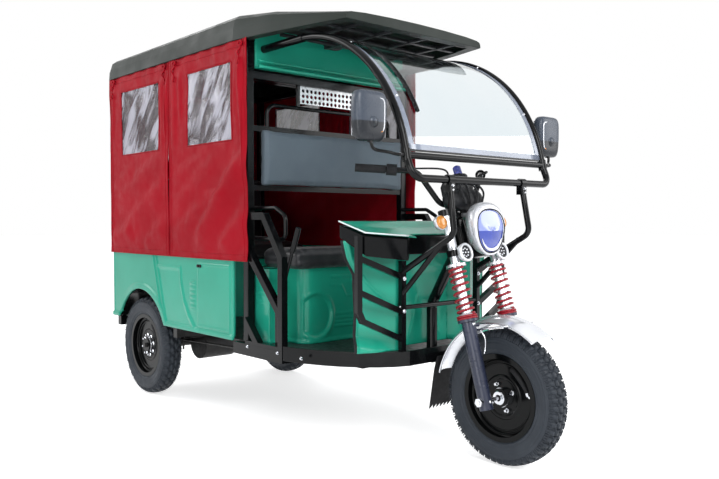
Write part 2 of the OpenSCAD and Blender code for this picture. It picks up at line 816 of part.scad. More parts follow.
glass_gap = 8;
glass_end_a = 82;
clip_at = [30, 62];
clip_a = 3;
module screen_glass() {
    half = screen_w / 2 - screen_tube_d / 2 - sleeve_t - seat;
    a = screen_a + asin((screen_tube_d / 2 + sleeve_t) / screen_r);
    color("lightblue") translate([screen_cx, 0, screen_cz]) across() rotate([0, 0, a])
        rotate_extrude(angle = glass_end_a - a) translate([screen_r - glass_t / 2, -half])
            square([glass_t, 2 * half]);
    color("lightblue") both() for (s = clip_at) translate([screen_cx, 0, screen_cz]) across()
        rotate([0, 0, s]) rotate_extrude(angle = clip_a)
            translate([screen_r - glass_t / 4, half - glass_gap]) square([glass_t / 2, glass_gap + sleeve_t]);
}

wiper_y = 300;
wiper_t = 10;
wiper_w = 14;
blade_a = 26;
arm_a = 54;
arm_lap_a = 2;
arm_end_a = 80;
module wiper() {
    r = screen_r + glass_t / 2 + seat;
    color("black") translate([screen_cx, -wiper_y, screen_cz]) across() {
        rotate([0, 0, blade_a]) rotate_extrude(angle = arm_a - blade_a + arm_lap_a)
            translate([r, -wiper_w / 2]) square([wiper_t, wiper_w]);
        rotate([0, 0, arm_a]) rotate_extrude(angle = arm_end_a - arm_a)
            translate([r + wiper_t / 4, -wiper_w / 3]) square([wiper_t / 2, wiper_w * 2 / 3]);
    }
}

mirror_out = 120;
mirror_back = 63;
mirror_z = 1282;
mirror_at = [screen_x - mirror_back, screen_w / 2 + mirror_out, mirror_z];
mirror_half = [26, 72, 88];
mirror_r = 24;
mirror_d = 12;
mirror_bend = 25;
mirror_arm_z = 1172;
module mirrors() {
    y = screen_w / 2 + screen_tube_d / 2 + sleeve_t + seat;
    color("dimgray") both() {
        tube([[screen_x, y, screen_z], [screen_x, y + 2 * mirror_bend, screen_z],
            [mirror_at.x + mirror_half.x / 2, mirror_at.y, mirror_arm_z], mirror_at], mirror_d, mirror_bend);
        pad(mirror_at - mirror_half, mirror_at + mirror_half, mirror_r);
    }
}

// Front cowl: leg shields and a recessed middle panel below a sloping hood and tray
cowl_t = 5;
recess_back = 102;
recess_x = foot_x - recess_back;
recess_half = 140;
hood_back = 148;
hood_rear = foot_x - hood_back;
hood_lead = 17;
hood_front = foot_x + hood_lead;
hood_t = 12;
hood_mid_back = 24;
hood_mid_x = foot_x - hood_mid_back;
hood_mid_w = 800;
hood_nose_w = 420;
hood_notch_back = 20;
hood_notch_x = foot_x - hood_notch_back;
hood_notch_w = 330;
tray_front_t = 84;
// Leg shield's outer edge: height share, width share
shield_shares = [[0, 0.90], [0.3, 0.885], [0.62, 0.90], [0.74, 0.97], [0.86, 1.0], [1, 0.97]];
// Hood's right edge, from its rear corner to the notch that clears the turning lamps
hood_edge = [[hood_rear, -cowl_rear_w / 2], [hood_mid_x, -hood_mid_w / 2], [hood_front, -hood_nose_w / 2],
    [hood_notch_x, -hood_notch_w / 2]];
module hood_slab(drop_rear, drop_front, t_rear, t_front) {
    intersection() {
        from_side(-half_w, body_w) polygon([[hood_rear, hood_rear_z - drop_rear - t_rear],
            [hood_front, hood_front_z - drop_front - t_front], [hood_front, hood_front_z - drop_front],
            [hood_rear, hood_rear_z - drop_rear]]);
        translate([0, 0, floor_z]) linear_extrude(hood_rear_z)
            polygon(concat(hood_edge, flipped(hood_edge)));
    }
}
module hood() { color("mediumseagreen") hood_slab(0, 0, hood_t, hood_t); }
module hood_tray() {
    color("black") hood_slab(hood_t + seat, hood_t + seat, tray_t, tray_front_t);
}
module front_cowl() {
    low = skirt_z + skirt_h + seat;
    edge = [[cowl_rear_x, -cowl_rear_w / 2], [cowl_x - skirt_t, -cowl_front_w / 2],
        [recess_x, -recess_half]];
    drop = hood_t + 2 * seat;
    color("mediumseagreen") intersection() {
        translate([0, 0, low]) linear_extrude(hood_rear_z - low)
            polygon(ribbon(concat(edge, flipped(edge)), cowl_t));
        from_side(-half_w, body_w) polygon([[hood_rear - tray_t, low], [hood_front, low],
            [hood_front, hood_front_z - drop - tray_front_t], [hood_rear, hood_rear_z - drop - tray_t],
            [hood_rear - tray_t, hood_rear_z - drop - tray_t]]);
        from_front(hood_rear - tray_t, hood_front) polygon(concat(
            [for (s = shield_shares) [cowl_rear_w / 2 * s[1], lerp(low, hood_rear_z, s[0])]],
            [for (s = reversed(shield_shares)) [-cowl_rear_w / 2 * s[1], lerp(low, hood_rear_z, s[0])]]));
    }
}

// Leg guards with the windscreen's support legs
bow_t = 22;
bow_back = 6;
bow_y = 222;
bow_at = [foot_x - bow_back, bow_y];
bow_out_back = 33;
bow_out_y = 426;
bow_out = [foot_x - bow_out_back, bow_out_y];
bow_top = 762;
bow_high = 862;
bow_knee = 575;
bow_foot = 455;
bow_knee_in = 18;
bow_bars = [[778, 698], [650, 562]];
bow_cross_z = 580;
leg_tube_d = 24;
leg_top_y = 216;
leg_lead = 33;
leg_y = 226;
leg_z = 868;
leg_knee = [loop_x + leg_lead, leg_y, leg_z];
leg_bend = 40;
strut_back = 19;
strut_y = 225;
strut_z = 843;
leg_strut = [loop_x - strut_back, strut_y, strut_z];
module leg_guards() {
    l = norm(bow_out - bow_at);
    top = [loop_x, leg_top_y, loop_z];
    head = top + unit(leg_knee - top) * (screen_tube_d / 2 + seat);
    color("black") {
        both() {
            translate([bow_at.x, bow_at.y, 0])
                rotate([90, 0, atan2(bow_out.y - bow_at.y, bow_out.x - bow_at.x)])
                translate([0, 0, -bow_t / 2]) linear_extrude(bow_t) {
                    polygon(ribbon([[0, skirt_z + skirt_h + seat], [0, bow_top]], bow_t));
                    polygon(ribbon([[l, bow_high], [l, bow_knee],
                        [l - bow_knee_in, bow_knee - 2 * bow_knee_in], [0, bow_foot]], bow_t));
                    for (b = bow_bars) polygon(ribbon([[l, b[0]], [0, b[1]]], bow_t));
                }
            tube([head, leg_knee, [bow_at.x, bow_at.y, bow_top - 2 * bow_t]], leg_tube_d, leg_bend);
            strut(leg_strut, [bow_at.x, bow_at.y, bow_bars[0][1] - 3 * bow_t], leg_tube_d - sleeve_t);
        }
        translate([bow_at.x, 0, bow_cross_z]) across()
            cylinder(h = 2 * bow_at.y, d = bow_t - sleeve_t, center = true);
    }
}

// Curtains with windows: side outlines along X, rear one along Y
curtain_rear_x = 310;
curtain_split_x = 345;
curtain_front_x = 1035;
curtain_slit = 4;
window_low = 1270;
window_top = 1610;
windows = [[-188, 247], [525, 918]];
rear_window_in = 200;
rear_window_half = half_w - rear_window_in;
pane_t = 2;
module window(a, b, inset) {
    translate([a + inset, window_low + inset])
        square([b - a - 2 * inset, window_top - window_low - 2 * inset]);
}
module curtains() {
    h = frame_top - curtain_z;
    color("firebrick") {
        both() from_side(-half_w - seat - lip_out - curtain_t, curtain_t) difference() {
            union() {
                translate([-curtain_rear_x, curtain_z])
                    square([curtain_rear_x + curtain_split_x - curtain_slit / 2, h]);
                translate([curtain_split_x + curtain_slit / 2, curtain_z])
                    square([curtain_front_x - curtain_split_x - curtain_slit / 2, h]);
            }
            for (w = windows) window(w[0], w[1], 0);
        }
        from_front(-body_tail - seat - curtain_t, curtain_t) difference() {
            translate([-half_w, curtain_z]) square([body_w, h]);
            window(-rear_window_half, rear_window_half, 0);
        }
    }
}
module curtain_windows() {
    color("lightgray") {
        both() from_side(-half_w - seat - lip_out - (curtain_t + pane_t) / 2, pane_t)
            for (w = windows) window(w[0], w[1], seat);
        from_front(-body_tail - seat - (curtain_t + pane_t) / 2, pane_t)
            window(-rear_window_half, rear_window_half, seat);
    }
}

// Fork and steering head, in the steering frame
yoke_low = 546;
yoke_h = 24;
yoke_high = 706;
yoke_w = 40;
boss_d = 54;
tube_d = 36;
riser_w = 26;
riser_l = 34;
riser_y = 42;
bar_x = 10;
bar_z = 764;
leg_low = -32;
leg_top = 305;
collar_t = 10;
collar_lip = 3;
collar_d = spring_d + 2 * collar_lip;
spring_top = 506;
wire_d = 9;
coils = 7;
coil_steps = 14;
wire_sides = 6;
axle_d = 16;
axle_half = 160;
bracket_d = 14;
module yoke_outline() {
    polygon(ribbon([[fork_offset, fork_w / 2], [0, 0], [fork_offset, -fork_w / 2]], yoke_w));
    for (p = [[fork_offset, fork_w / 2], [0, 0], [fork_offset, -fork_w / 2]])
        translate(p) circle(d = boss_d);
}
module steering_yoke() {
    color("black") steer() difference() {
        union() {
            for (z = [yoke_low, yoke_high]) translate([0, 0, z]) linear_extrude(yoke_h) yoke_outline();
            translate([0, 0, yoke_low]) cylinder(h = yoke_high - yoke_low + yoke_h / 2, d = stem_d);
            both() translate([bar_x - riser_l / 2, riser_y - riser_w / 2, yoke_high + yoke_h / 2])
                cube([riser_l, riser_w, bar_z + riser_l / 2 - yoke_high - yoke_h / 2]);
        }
        both() translate([fork_offset, fork_w / 2, yoke_low - over])
            cylinder(h = yoke_high + yoke_h - yoke_low + 2 * over, d = tube_d + 2 * seat);
        translate([bar_x, 0, bar_z]) across() cylinder(h = fork_w, d = bar_d + 2 * seat, center = true);
    }
}
module fork_tubes() {
    color("silver") steer() both() translate([fork_offset, fork_w / 2, 0]) {
        translate([0, 0, leg_top + seat])
            cylinder(h = yoke_high + yoke_h - leg_top - seat + over, d = tube_d);
        translate([0, 0, spring_top + seat]) cylinder(h = collar_t, d = collar_d);
    }
}
module fork_legs() {
    color("darkslateblue") steer() difference() {
        both() {
            translate([fork_offset, fork_w / 2, leg_low]) cylinder(h = leg_top - leg_low, d = leg_d);
            translate([fork_offset, fork_w / 2, leg_top - collar_t]) cylinder(h = collar_t, d = collar_d);
            translate([fork_offset, guard_half + seat, bracket_z])
                rotate([-90, 0, 0]) cylinder(h = fork_w / 2 - guard_half - seat, d = bracket_d);
        }
        translate([fork_offset, 0, 0]) across()
            cylinder(h = 2 * axle_half, d = axle_d + 2 * seat, center = true);
    }
}
module fork_springs() {
    low = leg_top + wire_d / 2 + seat;
    h = spring_top - leg_top - wire_d - seat;
    r = (spring_d - wire_d) / 2;
    n = coils * coil_steps;
    color("firebrick") steer() both() translate([fork_offset, fork_w / 2, low])
        swept([for (i = [0:n]) let (a = 360 * i / coil_steps) [for (k = [0:wire_sides - 1])
            let (b = -360 * k / wire_sides, q = r + wire_d / 2 * cos(b))
            [q * cos(a), q * sin(a), h * i / n + wire_d / 2 * sin(b)]]]);
}
module front_axle() {
    color("silver") steer() translate([fork_offset, 0, 0]) across() {
        cylinder(h = 2 * axle_half, d = axle_d, center = true);
        for (s = [-1, 1]) translate([0, 0, s * (fork_w / 2 + leg_d / 2 + nut_t / 2 + seat)])
            cylinder(h = nut_t, d = nut_d, center = true, $fn = 6);
    }
}

// Mudguard: arched section about the front axle
guard_r = tyre_r + guard_gap;
guard_half = 66;
guard_skin = 3;
guard_crown_r = 96;
guard_front_a = 53;
guard_rear_a = 168;
bracket_z = guard_r - guard_crown_r + sqrt(guard_crown_r * guard_crown_r - guard_half * guard_half);
module front_mudguard() {
    color("silver") translate([wheelbase, 0, tyre_r]) across() rotate([0, 0, guard_front_a])
        rotate_extrude(angle = guard_rear_a - guard_front_a) intersection() {
            translate([guard_r - guard_crown_r, 0]) difference() {
                circle(guard_crown_r + guard_skin / 2);
                circle(guard_crown_r - guard_skin / 2);
            }
            translate([guard_r - guard_crown_r, -guard_half]) square([2 * guard_crown_r, 2 * guard_half]);
        }
}

flap_t = 4;
flap_half = 64;
flap_back = 328;
flap_z = 176;
flap_tip = [wheelbase - flap_back, flap_z];
flap_angles = [157, 162, 167, 172];
module mud_flap() {
    r = guard_r + guard_skin / 2 + flap_t / 2 + 2 * seat;
    color("black") from_side(-flap_half, 2 * flap_half) polygon(ribbon(concat(
        [for (a = flap_angles) [wheelbase + r * cos(a), tyre_r + r * sin(a)]], [flap_tip]), flap_t));
}

bar_straight = 95;
bar_rise_y = 190;
bar_rise_z = 898;
bar_end_x = -132;
bar_end_z = 953;
bar_bend = 55;
bar_side = [[bar_end_x, -bar_w / 2, bar_end_z], [bar_x, -bar_rise_y, bar_rise_z],
    [bar_x, -bar_straight, bar_z]];
bar_pts = concat(bar_side, [for (p = reversed(bar_side)) [p.x, -p.y, p.z]]);
module handlebar() { color("black") steer() tube(bar_pts, bar_d, bar_bend); }

grip_l = 118;
grip_d = 32;
pod_l = 40;
pod_d = 44;
pod_gap = 3;
module grips() {
    v = unit(bar_pts[1] - bar_pts[0]);
    color("black") steer() both()
        for (g = [[0, grip_l, grip_d], [grip_l + pod_gap, pod_l, pod_d]]) difference() {
            strut(bar_pts[0] + v * g[0], bar_pts[0] + v * (g[0] + g[1]), g[2]);
            strut(bar_pts[0] + v * (g[0] - over), bar_pts[0] + v * (g[0] + g[1] + over), bar_d + 2 * seat);
        }
}

lamp_at = [118, 0, 622];
lamp_back = 44;
lamp_front = 34;
lamp_half = 92;
lamp_up = 122;
lamp_down = 118;
lamp_r = 44;
lamp_low_half = 58;
lamp_shell_share = 0.7;
lens_t = 12;
stay_d = 20;
lens_in = 9;
module lamp_outline(inset) {
    hull() for (s = [-1, 1]) {
        translate([s * (lamp_half - lamp_r), lamp_up - lamp_r]) circle(lamp_r - inset, $fn = 32);
        translate([s * (lamp_low_half - lamp_r), lamp_r - lamp_down]) circle(lamp_r - inset, $fn = 32);
    }
}
module at_lamp() { steer() translate(lamp_at) rotate([0, rake, 0]) children(); }
module headlamp() {
    color("silver") {
        at_lamp() hull() {
            from_front(0, lamp_front) lamp_outline(0);
            from_front(-lamp_back, lamp_back) lamp_outline(lamp_r * lamp_shell_share);
        }
        steer() translate([boss_d / 2 + seat, 0, yoke_high + yoke_h / 2]) rotate([0, 90, 0])
            cylinder(h = lamp_at.x - boss_d / 2, d = stay_d);
    }
}
module headlamp_lens() {
    color("lightsteelblue") at_lamp() hull() {
        from_front(lamp_front + seat, lens_t / 2) lamp_outline(lens_in);
        from_front(lamp_front + seat, lens_t) lamp_outline(3 * lens_in);
    }
}

module instrument() {
    color("black") steer()
        pad([pod_low.x, -pod_half, pod_low.y], [pod_high.x, pod_half, pod_high.y], pad_r);
}
pod_low = [-14, bar_z + riser_l / 2 + seat];
pod_high = [72, 862];
pod_half = 62;

signal_at = [62, 180, 676];
signal_d = 56;
signal_l = 40;
stalk_d = 14;
module turn_signals() {
    y = fork_w / 2 + tube_d / 2 + seat;
    color("darkorange") steer() both() {
        translate([fork_offset, y, signal_at.z]) rotate([-90, 0, 0])
            cylinder(h = signal_at.y - y, d = stalk_d);
        translate([signal_at.x - signal_l / 2, signal_at.y, signal_at.z]) rotate([0, 90, 0])
            cylinder(h = signal_l, d = signal_d);
    }
}

spot_d = 62;
spot_l = 30;
spot_y = 108;
spot_z = 552;
module spot_lamps() {
    color("silver") steer() both()
        translate([fork_offset + boss_d / 2 + seat, spot_y, spot_z]) rotate([0, 90, 0])
            cylinder(h = spot_l, d = spot_d);
}

cable_d = 7;
cable_steps = 14;
cable_sides = 8;
module control_cables() {
    v = unit(bar_pts[1] - bar_pts[0]);
    a = bar_pts[0] + v * (grip_l + 1.3 * pod_gap + pod_l) + unit(cross(v, [0, 0, 1])) * (bar_d + pod_d) / 4;
    end = [pod_low.x + 2 * pad_r, -pod_half - seat - cable_d / 2, pod_low.y + 1.5 * pad_r];
    color("black") steer() both() cord([for (i = [0:cable_steps])
        bezier([a, a + v * bar_rise_y + [2 * bar_d, 0, 0], [bar_rise_y / 2, -bar_straight, bar_rise_z], end],
            i / cable_steps)], cable_d, cable_sides);
}

// Wheels, made about Z with the outer side up
module rim(in_half, bore_d) {
    f = rim_d / 2;
    b = f - bead_drop;
    w = f - well_drop;
    rotate_extrude() difference() {
        union() {
            polygon([[f, -rim_half], [f, flange_t - rim_half], [b, flange_t - rim_half], [b, -well_half],
                [w, -well_half], [w, well_half], [b, well_half], [b, rim_half - flange_t],
                [f, rim_half - flange_t], [f, rim_half], [b - wall_t, rim_half],
                [b - wall_t, well_half + wall_t], [w - wall_t, well_half - wall_t],
                [w - wall_t, wall_t - well_half],
                [b - wall_t, -well_half - wall_t], [b - wall_t, -rim_half]]);
            translate([0, disc_at - disc_t]) square([w - wall_t / 2, disc_t]);
            translate([0, -in_half]) square([hub_d / 2, in_half + hub_out]);
        }
        translate([0, -in_half - over]) square([bore_d / 2 + running, in_half + hub_out + 2 * over]);
    }
}
module tyre() {
    b = rim_d / 2 - bead_drop + seat;
    in = rim_half - flange_t - seat;
    f = rim_d / 2 + seat;
    side = [for (s = tyre_shares) [lerp(b, tyre_r, s[0]), tyre_w / 2 * s[1]]];
    rotate_extrude() polygon(concat([[b, in], [f, in]], side,
        [for (p = reversed(side)) [p.x, -p.y]], [[f, -in], [b, -in]]));
}
module at_front() { translate([wheelbase, 0, tyre_r]) across() children(); }
module at_right() { translate([0, -rear_track / 2, tyre_r]) across() children(); }
module front_tyre() { color("dimgray") at_front() tyre(); }
module front_rim() { color("black") at_front() rim(hub_in, axle_d); }
module rear_tyre_right() { color("dimgray") at_right() tyre(); }
module rear_rim_right() { color("black") at_right() rim(hub_in, spindle_d); }
module rear_tyre_left() { mirror([0, 1, 0]) rear_tyre_right(); }
module rear_rim_left() { mirror([0, 1, 0]) rear_rim_right(); }

place() chassis_frame();
place() floor_pan();
place() bumper_skirt();
place() rear_axle();
place() drive_motor();
place() leaf_springs();
place() side_panels();
place() tail_panel();
place() tail_lamps();
place() wheel_housings();
place() seat_box();
place() battery_pack();
place() driver_seat();
place() hand_brake();
place() passenger_bench();
place() passenger_seat();
place() backrest_frame();
place() backrest_pad();
place() vent_grille();
place() cabin_frame();
place() side_guards();
place() arm_rests();
place() header_panel();
place() roof();
place() screen_frame();
place() screen_glass();
place() wiper();
place() mirrors();
place() front_cowl();
place() hood();
place() hood_tray();
place() leg_guards();
place() curtains();
place() curtain_windows();
place() steering_yoke();
place() fork_tubes();
place() fork_springs();
place() fork_legs();
place() front_axle();
place() front_mudguard();
place() mud_flap();
place() handlebar();
place() grips();
place() instrument();
place() headlamp();
place() headlamp_lens();
place() turn_signals();
place() spot_lamps();
place() control_cables();
place() front_tyre();
place() front_rim();
place() rear_tyre_right();
place() rear_rim_right();
place() rear_tyre_left();
place() rear_rim_left();
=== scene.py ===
"""Passenger electric tricycle: finishes, soft goods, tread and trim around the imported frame."""

import logging
from dataclasses import dataclass, field
from enum import Enum
from functools import lru_cache
from math import ceil, copysign, cos, hypot, pi, radians, sin, sqrt, tau
from typing import Callable, Iterable, Sequence

import bmesh
import bpy
from mathutils import Matrix, Vector, noise


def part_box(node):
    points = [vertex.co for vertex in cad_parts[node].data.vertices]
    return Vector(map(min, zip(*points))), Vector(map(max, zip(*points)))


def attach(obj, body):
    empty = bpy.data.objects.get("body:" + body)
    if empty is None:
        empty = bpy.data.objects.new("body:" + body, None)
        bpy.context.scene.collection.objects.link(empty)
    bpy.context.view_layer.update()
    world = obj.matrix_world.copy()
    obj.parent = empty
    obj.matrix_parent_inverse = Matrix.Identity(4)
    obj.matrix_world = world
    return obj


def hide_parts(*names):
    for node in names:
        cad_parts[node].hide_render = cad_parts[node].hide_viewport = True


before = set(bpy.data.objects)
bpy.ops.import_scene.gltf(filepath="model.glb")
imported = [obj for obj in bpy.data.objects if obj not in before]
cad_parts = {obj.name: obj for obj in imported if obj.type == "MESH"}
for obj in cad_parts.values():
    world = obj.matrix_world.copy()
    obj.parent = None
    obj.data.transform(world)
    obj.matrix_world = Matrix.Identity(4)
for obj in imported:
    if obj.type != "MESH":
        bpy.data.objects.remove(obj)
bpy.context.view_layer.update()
LOG = logging.getLogger("tricycle")
Pair = tuple[float, float]
Triple = tuple[float, float, float]
Colour = Triple
Socket = bpy.types.NodeSocket


class Body(Enum):
    """Bodies of the frame that a piece can ride on."""

    CHASSIS = "chassis"
    STEERING = "steering"
    FRONT_WHEEL = "front_wheel"
    RIGHT_WHEEL = "rear_wheel_right"
    LEFT_WHEEL = "rear_wheel_left"


class Side(Enum):
    """Sides of the vehicle, as the sign of Y."""

    RIGHT = -1
    LEFT = 1


SIDES = tuple(side.value for side in Side)


def srgb(red: int, green: int, blue: int) -> Colour:
    """Turns a display colour into a linear one.

    Args:
        red: Red from 0 to 255.
        green: Green from 0 to 255.
        blue: Blue from 0 to 255.

    Returns:
        The linear colour.
    """
    def linear(c: float) -> float:
        """Linear light of one channel."""
        return c / 12.92 if c <= 0.04045 else ((c + 0.055) / 1.055) ** 2.4

    return tuple(linear(c / 255) for c in (red, green, blue))


def mix(a: float, b: float, t: float) -> float:
    """Value at share t between a and b."""
    return a + (b - a) * t


def smooth(t: float) -> float:
    """Eased step from 0 to 1."""
    t = min(1.0, max(0.0, t))
    return t * t * (3 - 2 * t)


def signed_power(v: float, exponent: float) -> float:
    """Power of a value's size under the value's own sign, for squarish rounds."""
    return copysign(abs(v) ** exponent, v)


def angles(n: int) -> list[float]:
    """Angles of n even steps round a turn."""
    return [tau * k / n for k in range(n)]


def even(a: float, b: float, n: int) -> list[float]:
    """Values from a to b in n even steps, with both ends."""
    return [mix(a, b, k / n) for k in range(n + 1)]


def linked(name: str, data: bpy.types.ID) -> bpy.types.Object:
    """A new object with the given data, in the scene."""
    obj = bpy.data.objects.new(name, data)
    bpy.context.scene.collection.objects.link(obj)
    return obj


def break_edges(obj: bpy.types.Object, width: float, segments: int, sharp: float) -> None:
    """Bevels the edges that turn by more than an angle.

    Args:
        obj: The object.
        width: Width of the bevel in metres.
        segments: Facets of the bevel.
        sharp: The angle in degrees.
    """
    edge = obj.modifiers.new("edge", "BEVEL")
    edge.width = width
    edge.segments = segments
    edge.limit_method = "ANGLE"
    edge.angle_limit = radians(sharp)


def background_rays(tree: bpy.types.NodeTree) -> Socket:
    """Mask of the rays that see the background.

    Args:
        tree: The node tree to add to.

    Returns:
        1 for rays from the camera, through glass and off shiny surfaces.
    """
    path = tree.nodes.new("ShaderNodeLightPath")
    seen = path.outputs["Is Camera Ray"]
    for ray in ("Is Transmission Ray", "Is Glossy Ray"):
        either = tree.nodes.new("ShaderNodeMath")
        either.operation = "MAXIMUM"
        tree.links.new(seen, either.inputs[0])
        tree.links.new(path.outputs[ray], either.inputs[1])
        seen = either.outputs["Value"]
    return seen


class Shader:
    """A node material under construction, in object coordinates.

    Args:
        name: The material's name.
    """

    def __init__(self, name: str) -> None:
        self.material = bpy.data.materials.new(name)
        self.material.use_nodes = True
        self.nodes = self.material.node_tree.nodes
        self.links = self.material.node_tree.links
        self.surface = self.nodes["Principled BSDF"]
        self.place = self.nodes.new("ShaderNodeTexCoord").outputs["Object"]

    def add(self, kind: str, inputs: dict[str, object] | None = None, **settings: object) -> bpy.types.Node:
        """Adds a node.

        Args:
            kind: The node's type name.
            inputs: Values or sockets for its inputs, by name.
            settings: Attributes of the node.

        Returns:
            The new node.
        """
        node = self.nodes.new(kind)
        for key, value in settings.items():
            setattr(node, key, value)
        for key, value in (inputs or {}).items():
            self.feed(node.inputs[key], value)
        return node

    def feed(self, socket: Socket, value: object) -> None:
        """Links a socket to an input, or sets the input's own value."""
        if isinstance(value, Socket):
            self.links.new(value, socket)
        else:
            socket.default_value = value

    def set(self, **values: object) -> None:
        """Sets the shader's inputs, with underscores for spaces in their names."""
        for key, value in values.items():
            self.feed(self.surface.inputs[key.replace("_", " ")], value)

    def noise(self, scale: float, detail: float = 4.0, stretch: Sequence[float] = (1, 1, 1)) -> Socket:
        """Fractal noise with its cells per metre, its octaves and its scale along each axis."""
        spot = self.add("ShaderNodeMapping", {"Vector": self.place, "Scale": tuple(stretch)}).outputs["Vector"]
        return self.add("ShaderNodeTexNoise", {"Vector": spot, "Scale": scale, "Detail": detail}).outputs["Fac"]

    def spread(self, value: Socket, low: float, high: float, start: float = 0.3,
               end: float = 0.7) -> Socket:
        """A value whose range from start to end is mapped onto low to high."""
        node = self.add("ShaderNodeMapRange", {"Value": value, "From Min": start, "From Max": end,
                                               "To Min": low, "To Max": high})
        return node.outputs["Result"]

    def blend(self, share: Socket, a: Colour, b: Colour, start: float = 0.35,
              end: float = 0.65) -> Socket:
        """Colour between two colours.

        Args:
            share: Value that chooses between them.
            a: Colour at start.
            b: Colour at end.
            start: Value of the first colour.
            end: Value of the second colour.

        Returns:
            The mixed colour.
        """
        ramp = self.add("ShaderNodeValToRGB", {"Fac": share})
        for stop, (at, colour) in zip(ramp.color_ramp.elements, ((start, a), (end, b))):
            stop.position = at
            stop.color = (*colour, 1.0)
        return ramp.outputs["Color"]

    def bump(self, height: Socket, strength: float, depth: float,
             under: Socket | None = None) -> Socket:
        """Bump from a height.

        Args:
            height: Height from 0 to 1.
            strength: Strength of the bump.
            depth: Depth in metres.
            under: A normal to add it to.

        Returns:
            The bent normal.
        """
        inputs: dict[str, object] = {"Height": height, "Strength": strength, "Distance": depth}
        if under is not None:
            inputs["Normal"] = under
        return self.add("ShaderNodeBump", inputs).outputs["Normal"]


@dataclass(frozen=True)
class Finish:
    """A surface finish whose colour drifts a little and whose grain is bump.

    Attributes:
        name: The material's name.
        slot: The record's material slot; not used.
        colour: Main colour.
        drift: Second colour, in soft patches.
        roughness: Middle roughness.
        uneven: Spread of the roughness.
        patch: Patches of colour per metre.
        grain: Grain cells per metre.
        depth: Depth of the grain in metres.
        metallic: Share of metal.
        coat: Weight of a clear coat.
        sheen: Weight of cloth sheen.
        specular: Level of plain reflection.
    """

    name: str
    slot: str
    colour: Colour
    drift: Colour
    roughness: float = 0.4
    uneven: float = 0.08
    patch: float = 6.0
    grain: float = 300.0
    depth: float = 0.0003
    metallic: float = 0.0
    coat: float = 0.0
    sheen: float = 0.0
    specular: float = 0.5

    def shader(self) -> Shader:
        """Builds the node tree.

        Returns:
            The finished shader.
        """
        s = Shader(self.name)
        patches = s.noise(self.patch, 6.0)
        grain = s.noise(self.grain, 3.0)
        s.set(Base_Color=s.blend(patches, self.colour, self.drift),
              Roughness=s.spread(s.noise(self.patch * 5), self.roughness - self.uneven,
                                 self.roughness + self.uneven),
              Metallic=self.metallic, Coat_Weight=self.coat, Coat_Roughness=0.08, Sheen_Weight=self.sheen,
              Specular_IOR_Level=self.specular,
              Normal=s.bump(grain, 0.4, self.depth))
        return s

    def material(self) -> bpy.types.Material:
        """The finish's material, made once."""
        return built(self)


@lru_cache(maxsize=None)
def built(finish: Finish) -> bpy.types.Material:
    """A finish's material, made at the first call."""
    return finish.shader().material


@dataclass(frozen=True)
class Fabric(Finish):
    """Coated cloth: a fine weave under the grain.

    Attributes:
        threads: Threads per metre.
    """

    threads: float = 900.0

    WAVE = 6.283

    def shader(self) -> Shader:
        """Builds the node tree with a weave of two crossed waves."""
        s = super().shader()
        scale = self.threads / self.WAVE
        waves = [s.add("ShaderNodeTexWave", {"Vector": s.place, "Scale": scale, "Distortion": 0.6},
                       bands_direction=way).outputs["Fac"] for way in ("X", "Z")]
        cloth = s.add("ShaderNodeMath", {0: waves[0], 1: waves[1]}, operation="MULTIPLY")
        rumple = s.bump(s.noise(26.0, 8.0, (1, 1, 0.6)), 0.35, 0.004)
        s.set(Normal=s.bump(cloth.outputs["Value"], 0.25, 0.0004, rumple))
        return s


@dataclass(frozen=True)
class Clear(Finish):
    """See-through sheet or lens.

    Attributes:
        passing: Share of light that passes.
        index: Index of refraction.
        opacity: Opacity of a film that is too thin to bend light.
        rumple: Depth of its wrinkles in metres; where set, the wrinkle noise also paints dark shade and pale
            reflection streaks into the colour.
    """

    passing: float = 1.0
    index: float = 1.45
    opacity: float = 1.0
    rumple: float = 0.0

    STREAK_TURN = (0.0, 0.62, 0.0)
    STREAK_STRETCH = (1.0, 1.0, 3.2)
    # Range of the wrinkle noise over which the colour goes from painted shade to painted reflection.
    PAINTED_REFLECTION_RANGE = (0.42, 0.57)

    def shader(self) -> Shader:
        """Builds the node tree with light passing through, and painted shade and reflection streaks on wrinkled film.
        """
        s = super().shader()
        s.set(Transmission_Weight=self.passing, IOR=self.index, Alpha=self.opacity)
        if self.rumple:
            turned = s.add("ShaderNodeMapping", {"Vector": s.place, "Rotation": self.STREAK_TURN,
                                                 "Scale": self.STREAK_STRETCH}, vector_type="TEXTURE")
            folds = s.add("ShaderNodeTexNoise", {"Vector": turned.outputs["Vector"], "Scale": 17.0,
                                                 "Detail": 5.0, "Distortion": 0.7}).outputs["Fac"]
            # Painted light: the wrinkle noise blends the colour from a dark painted shade to a pale painted
            # reflection.
            s.set(Normal=s.bump(folds, 1.0, self.rumple),
                  Base_Color=s.blend(folds, self.colour, self.drift, *self.PAINTED_REFLECTION_RANGE))
        return s


@dataclass(frozen=True)
class Banded(Finish):
    """Moulding whose colour changes at a height; the lighter colour above it is a painted reflection.

    Attributes:
        level: Height of the change.
        above: Colour above it, a painted reflection.
        soft: Half height of the change.
    """

    level: float = 0.0
    above: Colour = (1.0, 1.0, 1.0)
    soft: float = 0.002

    def shader(self) -> Shader:
        """Builds the node tree with two bands of colour, the upper one a painted reflection."""
        s = super().shader()
        height = s.add("ShaderNodeSeparateXYZ", {"Vector": s.place}).outputs["Z"]
        share = s.spread(height, 0.0, 1.0, self.level - self.soft, self.level + self.soft)
        s.set(Base_Color=s.blend(share, self.colour, self.above, 0.3, 0.7))
        return s


